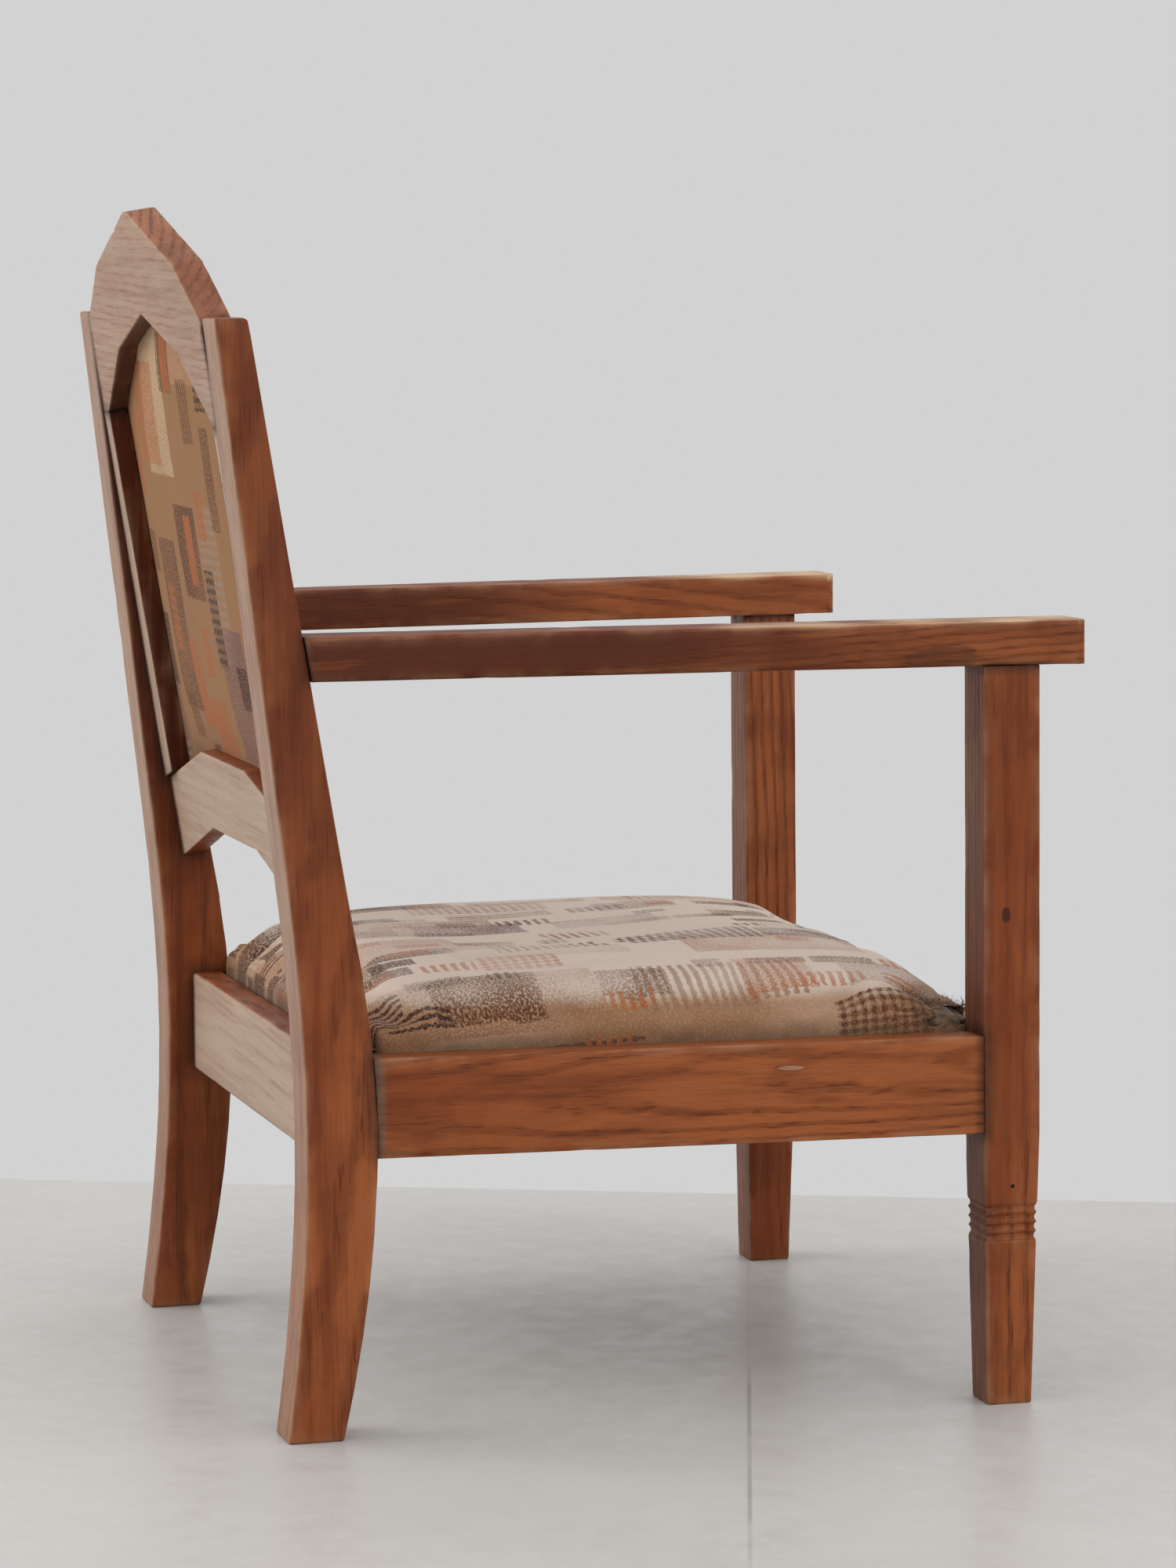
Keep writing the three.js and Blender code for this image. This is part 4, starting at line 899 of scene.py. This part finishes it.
class CHAIR_OT_webbing(bpy.types.Operator):
    """Gives the straps their weave"""

    bl_idname = "chair.webbing"
    bl_label = "Webbing"

    def execute(self, context):
        finish_nodes(STRAPS, jute_webbing())
        return {"FINISHED"}


# Soft pieces


def evaluated(piece):
    """The mesh that a piece's modifiers give"""
    graph = bpy.context.evaluated_depsgraph_get()
    return bpy.data.meshes.new_from_object(piece.evaluated_get(graph), depsgraph=graph)


def apply_modifiers(piece):
    """Makes what a piece's modifiers give its own mesh"""
    mesh = evaluated(piece)
    piece.modifiers.clear()
    piece.data = mesh


def remesh(piece, voxel):
    """Gives a piece an even mesh of one size all over"""
    modifier = piece.modifiers.new("even", "REMESH")
    modifier.mode = "VOXEL"
    modifier.voxel_size = voxel
    apply_modifiers(piece)


def swell(piece, held, cap):
    """Lets a pad's cloth swell and wrinkle over its stuffing, as far as a cap allows"""
    cloth = bpy.context.scene.chair_cloth
    scene = bpy.context.scene
    before = [v.co.copy() for v in piece.data.vertices]
    group = piece.vertex_groups.new(name="held")
    for vertex in piece.data.vertices:
        group.add([vertex.index], held(vertex.co), "REPLACE")
    modifier = piece.modifiers.new("swell", "CLOTH")
    settings = modifier.settings
    settings.quality = 5
    settings.mass = 0.3
    settings.vertex_group_mass = "held"
    settings.use_pressure = True
    settings.uniform_pressure_force = cloth.pressure
    settings.shrink_min = -cloth.slack
    settings.shrink_max = -cloth.slack
    settings.bending_stiffness = 2.0
    settings.effector_weights.gravity = 0
    modifier.collision_settings.use_collision = False
    modifier.point_cache.frame_start = 1
    modifier.point_cache.frame_end = cloth.frames
    for step in range(1, cloth.frames + 1):
        scene.frame_set(step)
    moved = [v.co.copy() for v in evaluated(piece).vertices]
    piece.modifiers.clear()
    piece.vertex_groups.clear()
    for vertex, old, new in zip(piece.data.vertices, before, moved):
        shift = new - old
        free = 1 - held(old)
        limit = cap * free
        if shift.length > limit:
            shift *= limit / shift.length
        vertex.co = old + shift
    scene.frame_set(1)


def crown(share, fullness, rounding):
    """Share of a pad's full height at a place across it"""
    return (1 - min(1.0, abs(share)) ** fullness) ** rounding


SEAT_HALF_FRONT = 0.2805
SEAT_HALF_REAR = 0.2450
LEG_GAP_X = 0.2660
LEG_GAP_Y = -0.2425
POST_GAP_X = 0.2290
POST_GAP_Y = 0.1965
SEAT_EDGE_Z = 0.2840
SEAT_RISE = 0.0400
SEAT_SIDE_FULLNESS = 4.0
SEAT_REAR_FULLNESS = 4.5
SEAT_FRONT_FULLNESS = 4.4
SAG_Y = 0.040
SAG_REACH = 0.190
SAG_DEPTH = 0.008
TORN_SPOT = Vector((-0.2640, -0.2400))
TORN_REACH = 0.046
TORN_DEPTH = 0.012
TORN_RADIUS = 0.021
# Slack folds: where each lies across, its half width, its depth, and where it starts and ends in depth
CREASES = (
    (-0.168, 0.010, 0.0042, -0.05, 0.16),
    (-0.142, 0.008, 0.0034, 0.00, 0.18),
    (-0.075, 0.013, 0.0036, -0.12, 0.10),
    (0.020, 0.016, 0.0020, -0.10, 0.15),
    (0.110, 0.012, 0.0022, -0.04, 0.17),
    (0.160, 0.010, 0.0020, -0.15, 0.05),
)
# The cover's flat foot and sides: its rise over the CAD's underside, its overlap, and its wall
SEAT_FOOT_LIFT = 0.0005
SEAT_FOOT_DROP = 0.004
COVER_WALL = 0.0016
# What of the cover shows above the side rails, and how high its soil reaches there
SEAT_HELD_ABOVE_RAIL = 0.002
SEAT_FREE_OVER = 0.016
TEAR_ABOVE_RAIL = 0.004
# The stuffing lies this far under the cover
STUFFING_UNDER_COVER = 0.0045
# How faded the top gets, with painted light from above, from where, and over what height
TOP_FADE_AND_LIGHT = 0.55
FADE_AND_LIGHT_FROM_Z = 0.298
FADE_AND_LIGHT_OVER = 0.014


def seat_half_width(y):
    """Half the seat's width at a depth, narrowed between the legs and between the posts"""
    share = (y - SEAT_LOW.y) / (SEAT_HIGH.y - SEAT_LOW.y)
    half = SEAT_HALF_FRONT + (SEAT_HALF_REAR - SEAT_HALF_FRONT) * share
    if y < LEG_GAP_Y:
        half = min(half, LEG_GAP_X)
    if y > POST_GAP_Y:
        half = min(half, POST_GAP_X)
    return half


def seat_creases(x, y):
    """Slack folds of the worn cloth, mostly running from front to back"""
    folds = 0.0
    for middle, width, depth, low, high in CREASES:
        line = middle + 0.012 * math.sin(y * 21 + middle * 90)
        ends = max(0.0, 1 - ((y - (low + high) / 2) / ((high - low) / 2)) ** 2)
        folds += depth * ends * math.exp(-(((x - line) / width) ** 2))
    return folds


def seat_height(x, y, across, along):
    """Height of the seat's cloth: a slack crown, sunk in the middle and in the torn corner"""
    if along < 0:
        lengthwise = crown(along, SEAT_FRONT_FULLNESS, 0.6)
    else:
        lengthwise = crown(along, SEAT_REAR_FULLNESS, 0.5)
    high = crown(across, SEAT_SIDE_FULLNESS, 0.5) * lengthwise
    sag = max(0.0, 1 - (math.hypot(x, y - SAG_Y) / SAG_REACH) ** 2) ** 2 * SAG_DEPTH
    torn = max(0.0, 1 - (Vector((x, y)) - TORN_SPOT).length / TORN_REACH) * TORN_DEPTH * high
    lumps = noise.noise(Vector((x * 11, y * 11, 0.3))) * 0.0016
    return SEAT_EDGE_Z + SEAT_RISE * high - sag - torn + (lumps - seat_creases(x, y)) * high


def other_side(bm):
    """Closes a sheet into a block: gives it walls and a second side, whose corners are returned"""
    grown = bmesh.ops.extrude_face_region(bm, geom=bm.faces[:], use_keep_orig=True)["geom"]
    return [g for g in grown if isinstance(g, bmesh.types.BMVert)]


def seat_block():
    """Closed block of the seat: a crowned top, upright sides and a flat underside"""
    bm = bmesh.new()
    bmesh.ops.create_grid(bm, x_segments=84, y_segments=84, size=1.0)
    for vert in bm.verts:
        across = math.sin(vert.co.x * math.pi / 2)
        along = math.sin(vert.co.y * math.pi / 2)
        y = SEAT_LOW.y + (along + 1) / 2 * (SEAT_HIGH.y - SEAT_LOW.y)
        x = across * seat_half_width(y)
        vert.co = Vector((x, y, seat_height(x, y, across, along)))
    for vert in other_side(bm):
        vert.co.z = SEAT_LOW.z - SEAT_FOOT_DROP
    bmesh.ops.recalc_face_normals(bm, faces=bm.faces)
    return bm


def seat_cloth_place(place, normal):
    """Where a point of the seat lies on its flat cloth, the sides folded up into the plane"""
    drop = max(0.0, SEAT_EDGE_Z + 0.006 - place.z)
    u, v = place.x, place.y
    if abs(normal.x) > abs(normal.y):
        u += math.copysign(drop, place.x)
    else:
        v += math.copysign(drop, place.y)
    return u, v


def torn_share(place):
    """1 inside the torn corner of the seat's cloth, falling to 0 at its ragged edge"""
    flat = Vector((place.x, place.y)) - TORN_SPOT
    flat.y *= 0.8
    ragged = 0.010 * noise.noise(place * 70) + 0.006 * noise.noise(place * 190)
    return 1 - (flat.length + ragged) / TORN_RADIUS


def lay_cloth(mesh, place_of):
    """Gives a mesh the flat layout of its cloth, in metres"""
    layer = mesh.uv_layers.new(name="cloth")
    for polygon in mesh.polygons:
        for loop in polygon.loop_indices:
            vertex = mesh.vertices[mesh.loops[loop].vertex_index]
            layer.data[loop].uv = place_of(vertex.co, polygon.normal)


def smooth_finish(piece, thickness):
    """A wall of cloth towards the inside, and one subdivision"""
    if thickness:
        wall = piece.modifiers.new("cloth_wall", "SOLIDIFY")
        wall.thickness = thickness
        wall.offset = -1
    rounded = piece.modifiers.new("rounded", "SUBSURF")
    rounded.levels = 1
    rounded.render_levels = 1


def age_cover(bm):
    """Levels the seat cover's foot, marks its soiled tear and its faded top, painted lighter for the light
    from above, and frays the tear's rim
    """
    soil = bm.verts.layers.float.new("soil")
    faded_and_lit = bm.verts.layers.float.new("faded_and_lit")
    for vert in bm.verts:
        vert.co.z = max(vert.co.z, SEAT_LOW.z + SEAT_FOOT_LIFT)
        share = torn_share(vert.co)
        vert[soil] = max(0.0, min(0.42, 0.34 + share * 0.4))
        vert[faded_and_lit] = TOP_FADE_AND_LIGHT * held_in_unit((vert.co.z - FADE_AND_LIGHT_FROM_Z) / FADE_AND_LIGHT_OVER)
        if vert.co.z > SEAT_EDGE_Z - 0.01 and -0.7 < share < 0:
            vert.co.z += 0.004 * (0.7 + share) * noise.noise(vert.co * 120)


def open_cover(bm):
    """Takes the underside and the torn corner out of the seat's cover"""
    foot_z = SEAT_LOW.z + SEAT_FOOT_LIFT + 0.0003
    gone = []
    for face in bm.faces:
        middle = face.calc_center_median()
        torn = torn_share(middle) > 0 and middle.z > RAIL_TOP_Z + TEAR_ABOVE_RAIL
        if torn or all(v.co.z < foot_z for v in face.verts):
            gone.append(face)
    bmesh.ops.delete(bm, geom=gone, context="FACES")


class CHAIR_OT_seat(bpy.types.Operator):
    """Makes the drop-in seat's cover: swollen, slack, soiled and torn at one corner"""

    bl_idname = "chair.seat"
    bl_label = "Seat cover"

    def execute(self, context):
        cloth = context.scene.chair_cloth
        piece = object_of("seat_cover_cloth", seat_block())
        remesh(piece, cloth.voxel)

        def held(place):
            """1 between the rails, falling to 0 over the rails' tops"""
            over = place.z - (RAIL_TOP_Z + SEAT_HELD_ABOVE_RAIL)
            return 1 - held_in_unit(over / SEAT_FREE_OVER)

        swell(piece, held, cloth.swell)
        bm = bmesh.new()
        bm.from_mesh(piece.data)
        age_cover(bm)
        open_cover(bm)
        bm.to_mesh(piece.data)
        bm.free()
        lay_cloth(piece.data, seat_cloth_place)
        material = cover_cloth(
            "seat_cloth", cloth.ground, SEAT_TINT, 1.0, RAIL_TOP_Z, RAIL_TOP_Z + SEAT_FREE_OVER,
        )
        dress(piece, material, ["seat_cover"])
        smooth_finish(piece, COVER_WALL)
        return {"FINISHED"}


class CHAIR_OT_seat_stuffing(bpy.types.Operator):
    """Makes the hair pad of the seat, which shows in the torn corner"""

    bl_idname = "chair.seat_stuffing"
    bl_label = "Seat stuffing"

    def execute(self, context):
        low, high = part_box("seat_stuffing")
        bm = seat_block()
        middle = (SEAT_LOW + SEAT_HIGH) / 2
        for vert in bm.verts:
            vert.co.x *= (high.x - 0.001) / SEAT_HALF_FRONT
            vert.co.y = middle.y + (vert.co.y - middle.y) * 0.985
            vert.co.z = max(vert.co.z - STUFFING_UNDER_COVER, low.z)
            lump = noise.noise(vert.co * 90) * 0.0018
            vert.co.z += min(0.0, lump) if vert.co.z > low.z else 0.0
        piece = object_of("seat_hair_pad", bm)
        dress(piece, hair_stuffing(), ["seat_stuffing"])
        return {"FINISHED"}


def fibre(bm, start, heading, length, radius, droop, rng):
    """One curved fibre: three corners round, drawn along a bent path"""
    ring = bmesh.ops.create_circle(bm, segments=3, radius=radius, cap_ends=False)["verts"]
    turn = heading.to_track_quat("Z", "Y").to_matrix().to_4x4()
    bmesh.ops.transform(bm, matrix=Matrix.Translation(start) @ turn, verts=ring)
    edges = list({e for v in ring for e in v.link_edges})
    steps = 5
    for i in range(steps):
        grown = bmesh.ops.extrude_edge_only(bm, edges=edges)["geom"]
        verts = [g for g in grown if isinstance(g, bmesh.types.BMVert)]
        edges = [g for g in grown if isinstance(g, bmesh.types.BMEdge) and all(v in verts for v in g.verts)]
        heading = (heading + Vector((rng.uniform(-0.3, 0.3), rng.uniform(-0.3, 0.3), -droop))).normalized()
        bmesh.ops.translate(bm, vec=heading * (length / steps), verts=verts)
        middle = sum((v.co for v in verts), Vector()) / len(verts)
        shrink = 1 - 0.13 * (i + 1)
        for vert in verts:
            vert.co = middle + (vert.co - middle) * shrink
    bmesh.ops.pointmerge(bm, verts=verts, merge_co=sum((v.co for v in verts), Vector()) / len(verts))


class CHAIR_OT_torn_corner(bpy.types.Operator):
    """Makes the broken threads and the hair that stick out of the torn corner"""

    bl_idname = "chair.torn_corner"
    bl_label = "Torn corner"
    count: IntProperty(name="Count", description="Number of broken threads", default=230, min=0)
    seed: IntProperty(name="Seed", description="Start of their random draws", default=11)

    def execute(self, context):
        rng = random.Random(self.seed)
        cover = bpy.data.objects["seat_cover_cloth"]
        rim = [
            v.co.copy() for v in cover.data.vertices
            if -0.34 < torn_share(v.co) < 0.1 and v.co.z > RAIL_TOP_Z + TEAR_ABOVE_RAIL
        ]
        threads, hair = bmesh.new(), bmesh.new()
        for _ in range(self.count):
            start = rng.choice(rim) + Vector((rng.uniform(-1, 1), rng.uniform(-1, 1), 0)) * 0.003
            inward = Vector((TORN_SPOT.x - start.x, TORN_SPOT.y - start.y, 0)).normalized()
            side = Vector((rng.uniform(-1, 1), rng.uniform(-1, 1), rng.uniform(0.1, 1.1)))
            heading = (inward * rng.uniform(-0.2, 0.9) + side * 0.8).normalized()
            length = rng.uniform(0.004, 0.014)
            target = threads if rng.random() < 0.6 else hair
            fibre(target, start, heading, length, rng.uniform(0.00025, 0.0005), rng.uniform(0, 0.3), rng)
        for name, bm, material, slot in (
            ("broken_threads", threads, bpy.data.materials["seat_cloth"], "cover_cloth"),
            ("loose_hair", hair, bpy.data.materials["hair_stuffing"], "stuffing"),
        ):
            bmesh.ops.recalc_face_normals(bm, faces=bm.faces)
            piece = object_of(name, bm)
            layer = piece.data.attributes.new("soil", "FLOAT", "POINT")
            layer.data.foreach_set("value", [0.25] * len(piece.data.vertices))
            lay_cloth(piece.data, seat_cloth_place)
            dress(piece, material, [])
        return {"FINISHED"}


class CHAIR_OT_base_cloth(bpy.types.Operator):
    """Makes the hessian that lies on the seat's straps"""

    bl_idname = "chair.base_cloth"
    bl_label = "Base cloth"

    def execute(self, context):
        low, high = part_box("seat_base_cloth")
        bm = bmesh.new()
        bmesh.ops.create_grid(bm, x_segments=70, y_segments=60, size=1.0)
        for vert in bm.verts:
            y = low.y + (vert.co.y + 1) / 2 * (high.y - low.y)
            x = vert.co.x * (seat_half_width(y) - 0.004)
            lift = 0.0005 * noise.noise(Vector((x * 30, y * 30, 0)))
            vert.co = Vector((x, y, (low.z + high.z) / 2 + lift))
        piece = object_of("seat_hessian", bm)
        dress(piece, base_cloth_finish(), ["seat_base_cloth"])
        wall = piece.modifiers.new("wall", "SOLIDIFY")
        wall.thickness = 0.0008
        wall.offset = 0
        return {"FINISHED"}


# The back's pads, made upright: where the flat side of each lies, its edge's thickness, its rise, and
# how far its foot hangs below the panel's
FRONT_PAD = {"inset": 0.0, "drop": 0.003, "thickness": 0.006, "rise": 0.0170, "front_y": -0.0256}
REAR_PAD = {"inset": 0.0, "drop": 0.0007, "thickness": 0.0012, "rise": 0.0, "front_y": -0.0170}
HAIR_PAD = {"inset": 0.005, "drop": 0.0, "thickness": 0.002, "rise": 0.012, "front_y": -0.0282}
PAD_FULLNESS = 2.2
PAD_ROUNDING = 0.9
PAD_SEGMENTS = 60
HAIR_PAD_SEGMENTS = 24
# How far towards the side of a pad's grid the corner of the panel's outline lies
CORNER_SHARE = 0.55
# The front pad: what its frame holds, how far the cloth may swell, and where it ends
FRONT_PAD_HELD = 0.003
FRONT_PAD_FREE_OVER = 0.006
FRONT_PAD_SWELL = 0.0035
FRONT_PAD_LIMIT_Y = -0.0520
# The rear cloth's bulge and its unevenness
REAR_BULGE = 0.0062
REAR_UNEVEN = 0.0011
# Where the back's cloth starts in the pattern
BACK_CLOTH_SHIFT = (0.13, 0.055)


def panel_block(inset, drop, thickness, rise, front_y, segments, forwards):
    """Closed pad on the back panel: flat on one side, crowned on the other"""
    def within(point):
        """A corner of the outline, drawn in from the frame"""
        return point[0] - inset, point[1] - inset * 0.6

    corner = within(PANEL_CORNER)
    spring = within(PANEL_SPRING)
    peak = (0.0, PANEL_PEAK[1] - inset)
    foot_x = PANEL_FOOT[0] - inset
    bm = bmesh.new()
    bmesh.ops.create_grid(bm, x_segments=segments, y_segments=segments, size=1.0)
    for vert in bm.verts:
        across, up = vert.co.x, math.sin(vert.co.y * math.pi / 2)
        share = abs(across) / CORNER_SHARE
        if share < 1:
            top_x = corner[0] * share
            top_s = peak[1] + (corner[1] - peak[1]) * share
        else:
            past = math.sin((abs(across) - CORNER_SHARE) / (1 - CORNER_SHARE) * math.pi / 2)
            top_x = corner[0] + (spring[0] - corner[0]) * past
            top_s = corner[1] + (spring[1] - corner[1]) * past
        fall = max(0.0, foot_x * top_x / spring[0] - RAIL_FLAT_X) * RAIL_FALL
        low_s = PANEL_FOOT[1] + inset - drop - fall
        s = low_s + (top_s - low_s) * (up + 1) / 2
        along = held_in_unit((s - PANEL_FOOT[1]) / (spring[1] - PANEL_FOOT[1]))
        width = foot_x + (spring[0] - foot_x) * along
        x = math.copysign(top_x / spring[0] * width, across)
        high = crown(top_x / spring[0], PAD_FULLNESS, PAD_ROUNDING) * crown(up, PAD_FULLNESS, PAD_ROUNDING)
        y = front_y + (thickness + rise * high) * (-1 if forwards else 1)
        vert.co = Vector((x, y, s))
    for vert in other_side(bm):
        vert.co.y = front_y
    bmesh.ops.recalc_face_normals(bm, faces=bm.faces)
    return bm


def panel_cloth_place(place, _normal):
    """Where a point of the back lies on its flat cloth"""
    flat = BACK_PLANE.inverted() @ place
    return flat.x + BACK_CLOTH_SHIFT[0], flat.z + BACK_CLOTH_SHIFT[1]


def into_back_plane(piece):
    """Leans a piece that was made upright into the plane of the back"""
    piece.data.transform(BACK_PLANE)


class CHAIR_OT_back(bpy.types.Operator):
    """Makes the back panel's covers and the thin pad between them"""

    bl_idname = "chair.back"
    bl_label = "Back panel"

    def execute(self, context):
        cloth = context.scene.chair_cloth
        material = cover_cloth(
            "back_cloth", cloth.ground_back, BACK_TINT, BACK_BLOCKS,
            PANEL_FOOT[1] - 0.02, PANEL_FOOT[1] + 0.015,
        )

        flat_y = FRONT_PAD["front_y"]
        front_pad = panel_block(**FRONT_PAD, segments=PAD_SEGMENTS, forwards=True)
        front = object_of("back_front_cloth", front_pad)
        remesh(front, cloth.voxel)

        def held(place):
            """1 at the frame, falling to 0 towards the middle of the pad"""
            return 1 - held_in_unit((flat_y - place.y - FRONT_PAD_HELD) / FRONT_PAD_FREE_OVER)

        swell(front, held, FRONT_PAD_SWELL)
        for vertex in front.data.vertices:
            vertex.co.y = max(min(vertex.co.y, flat_y), FRONT_PAD_LIMIT_Y)
        into_back_plane(front)
        lay_cloth(front.data, panel_cloth_place)
        dress(front, material, ["back_cover_front"])
        smooth_finish(front, 0)

        rear_pad = panel_block(**REAR_PAD, segments=PAD_SEGMENTS, forwards=False)
        for vert in rear_pad.verts:
            if vert.co.y > REAR_PAD["front_y"] + 0.0001:
                inner = panel_share(vert.co.x, vert.co.z)
                vert.co.y += REAR_BULGE * inner + REAR_UNEVEN * inner * noise.noise(vert.co * 16)
        rear = object_of("back_rear_cloth", rear_pad)
        into_back_plane(rear)
        lay_cloth(rear.data, panel_cloth_place)
        dress(rear, material, ["back_cover_rear"])
        smooth_finish(rear, 0)

        inner_pad = panel_block(**HAIR_PAD, segments=HAIR_PAD_SEGMENTS, forwards=True)
        inner = object_of("back_hair_pad", inner_pad)
        into_back_plane(inner)
        dress(inner, bpy.data.materials["hair_stuffing"], ["back_stuffing"])
        return {"FINISHED"}


def panel_share(x, s):
    """0 where the frame holds the rear cloth, rising to 1 in the middle of the panel"""
    across = max(0.0, 1 - (abs(x) / (PANEL_SPRING[0] - 0.016)) ** 3)
    roof = PANEL_PEAK[1] - abs(x) * 0.30 - 0.016
    up = held_in_unit((roof - s) / 0.12) * held_in_unit((s - PANEL_FOOT[1] - 0.012) / 0.09)
    return across ** 0.6 * (up * (2 - up)) ** 0.7


# Studio


# Lamps: name, place, what it points at, its width in metres and its power in watts
LAMPS = (
    ("window", (1.0, 3.4, 1.9), (0.0, 0.0, 0.35), 3.0, 66.0),
    ("fill", (-3.6, -0.8, 2.6), (0.0, 0.0, 0.4), 3.4, 44.0),
)
FILM_WIDTH = 36
# Half the floor's side, a point at the foot of the wall, and the wall's turn from the Y axis
FLOOR_HALF = 9
WALL_FOOT = (0.6395, -0.2015, 0.0)
WALL_TURN = -0.4322
# A seam in the floor: the direction across it, its distance from the origin and half its width
SEAM_ACROSS = (0.2974, 0.9548, 0.0)
SEAM_OFFSET = 0.1529
SEAM_HALF = 0.0022

class CHAIR_OT_stage(bpy.types.Operator):
    """Makes the floor, the soft light and the camera"""

    bl_idname = "chair.stage"
    bl_label = "Studio"

    def execute(self, context):
        stage = context.scene.chair_stage
        self.camera(context, stage)
        self.floor(stage)
        self.world(context, stage)
        self.lamps()
        context.scene.view_settings.view_transform = "Standard"
        return {"FINISHED"}

    def camera(self, context, stage):
        """A camera at the eye, turned by yaw, pitch and roll"""
        ahead = Vector((
            math.cos(stage.yaw) * math.cos(stage.pitch),
            -math.sin(stage.yaw) * math.cos(stage.pitch),
            -math.sin(stage.pitch),
        ))
        level = ahead.cross(Vector((0, 0, 1))).normalized()
        upright = level.cross(ahead)
        right = level * math.cos(stage.roll) + upright * math.sin(stage.roll)
        up = upright * math.cos(stage.roll) - level * math.sin(stage.roll)
        data = bpy.data.cameras.new("view")
        data.lens = stage.lens
        data.sensor_width = FILM_WIDTH
        camera = bpy.data.objects.new("view", data)
        turn = Matrix((right, up, -ahead)).transposed().to_4x4()
        camera.matrix_world = Matrix.Translation(stage.eye) @ turn
        context.scene.collection.objects.link(camera)
        context.scene.camera = camera

    def floor(self, stage):
        """A painted floor that ends where the wall stands in the picture"""
        material, tree, shader, place = new_finish("painted_floor", 0.34, specular=0.5)
        scuffs = grain_noise(tree, place, 3.0, 6.0, 0.6)
        specks = grain_noise(tree, place, 30.0, 5.0, 0.7)

        def darker(share):
            """The floor's colour, darkened"""
            return tuple(share * c for c in stage.floor)

        color = mix(tree, spread(tree, scuffs, 0.35, 0.75, 0.0, 0.5), stage.floor, darker(0.86))
        color = mix(tree, spread(tree, specks, 0.62, 0.8, 0.0, 0.4), color, darker(0.72))
        across = put(tree, "ShaderNodeVectorMath", {0: place, 1: SEAM_ACROSS}, operation="DOT_PRODUCT")
        off_seam = calc(tree, "ABSOLUTE", calc(tree, "ADD", across.outputs["Value"], SEAM_OFFSET))
        filled = spread(tree, scuffs, 0.6, 0.4, 0.05, 0.5)
        seam = times(tree, spread(tree, off_seam, SEAM_HALF, 0.0008), filled)
        color = mix(tree, seam, color, darker(0.35))
        tree.links.new(color, shader.inputs["Base Color"])
        tree.links.new(spread(tree, specks, 0.3, 0.7, 0.3, 0.5), shader.inputs["Roughness"])
        bm = bmesh.new()
        bmesh.ops.create_grid(bm, x_segments=1, y_segments=1, size=FLOOR_HALF)
        bmesh.ops.translate(bm, vec=(-FLOOR_HALF, 0, 0), verts=bm.verts)
        turn = Matrix.Rotation(WALL_TURN, 3, "Z")
        bmesh.ops.rotate(bm, cent=(0, 0, 0), matrix=turn, verts=bm.verts)
        bmesh.ops.translate(bm, vec=WALL_FOOT, verts=bm.verts)
        floor = object_of("floor", bm)
        floor.data.materials.append(material)

    def world(self, context, stage):
        """Even light, with the wall's grey where the camera or a reflection looks past the chair"""
        world = bpy.data.worlds.new("studio")
        context.scene.world = world
        world.use_nodes = True
        tree = world.node_tree
        shader = tree.nodes["Background"]
        path = put(tree, "ShaderNodeLightPath").outputs
        seen = calc(tree, "MAXIMUM", path["Is Camera Ray"], path["Is Glossy Ray"])
        seen = calc(tree, "MAXIMUM", seen, path["Is Transmission Ray"])
        lit = tuple(stage.ambient * c for c in (0.96, 0.98, 1.0))
        tree.links.new(mix(tree, seen, lit, stage.wall), shader.inputs["Color"])

    def lamps(self):
        """A broad window light from behind the chair's back, and a weak fill from the viewer"""
        for name, place, target, size, power in LAMPS:
            data = bpy.data.lights.new(name, "AREA")
            data.size = size
            data.energy = power
            lamp = bpy.data.objects.new(name, data)
            lamp.location = place
            lamp.rotation_euler = (Vector(target) - Vector(place)).to_track_quat("-Z", "Y").to_euler()
            bpy.context.scene.collection.objects.link(lamp)


class CHAIR_PT_panel(bpy.types.Panel):
    """Lists the chair's pieces in the order in which they are made"""

    bl_label = "Armchair"
    bl_idname = "CHAIR_PT_panel"
    bl_space_type = "VIEW_3D"
    bl_region_type = "UI"
    bl_category = "Armchair"

    def draw(self, context):
        column = self.layout.column()
        for operator in STEPS:
            column.operator(operator.bl_idname)
        for settings in (context.scene.chair_timber, context.scene.chair_cloth, context.scene.chair_stage):
            for name in settings.__annotations__:
                column.prop(settings, name)


STEPS = (
    CHAIR_OT_stage,
    CHAIR_OT_timber,
    CHAIR_OT_hidden_timber,
    CHAIR_OT_nails,
    CHAIR_OT_webbing,
    CHAIR_OT_base_cloth,
    CHAIR_OT_seat_stuffing,
    CHAIR_OT_seat,
    CHAIR_OT_torn_corner,
    CHAIR_OT_back,
)
CLASSES = (StageSettings, TimberSettings, ClothSettings, *STEPS, CHAIR_PT_panel)


def register():
    """Registers the classes and hangs the settings on the scene"""
    for item in CLASSES:
        bpy.utils.register_class(item)
    bpy.types.Scene.chair_stage = PointerProperty(type=StageSettings)
    bpy.types.Scene.chair_timber = PointerProperty(type=TimberSettings)
    bpy.types.Scene.chair_cloth = PointerProperty(type=ClothSettings)


def unregister():
    """Takes the settings and the classes away again"""
    for name in ("chair_cloth", "chair_timber", "chair_stage"):
        delattr(bpy.types.Scene, name)
    for item in reversed(CLASSES):
        bpy.utils.unregister_class(item)


def main():
    """Builds the chair and its studio"""
    register()
    bpy.ops.chair.stage()
    bpy.ops.chair.timber()
    bpy.ops.chair.hidden_timber()
    bpy.ops.chair.nails()
    bpy.ops.chair.webbing()
    bpy.ops.chair.base_cloth()
    bpy.ops.chair.seat_stuffing()
    bpy.ops.chair.seat()
    bpy.ops.chair.torn_corner()
    bpy.ops.chair.back()


if __name__ == "__main__":
    main()
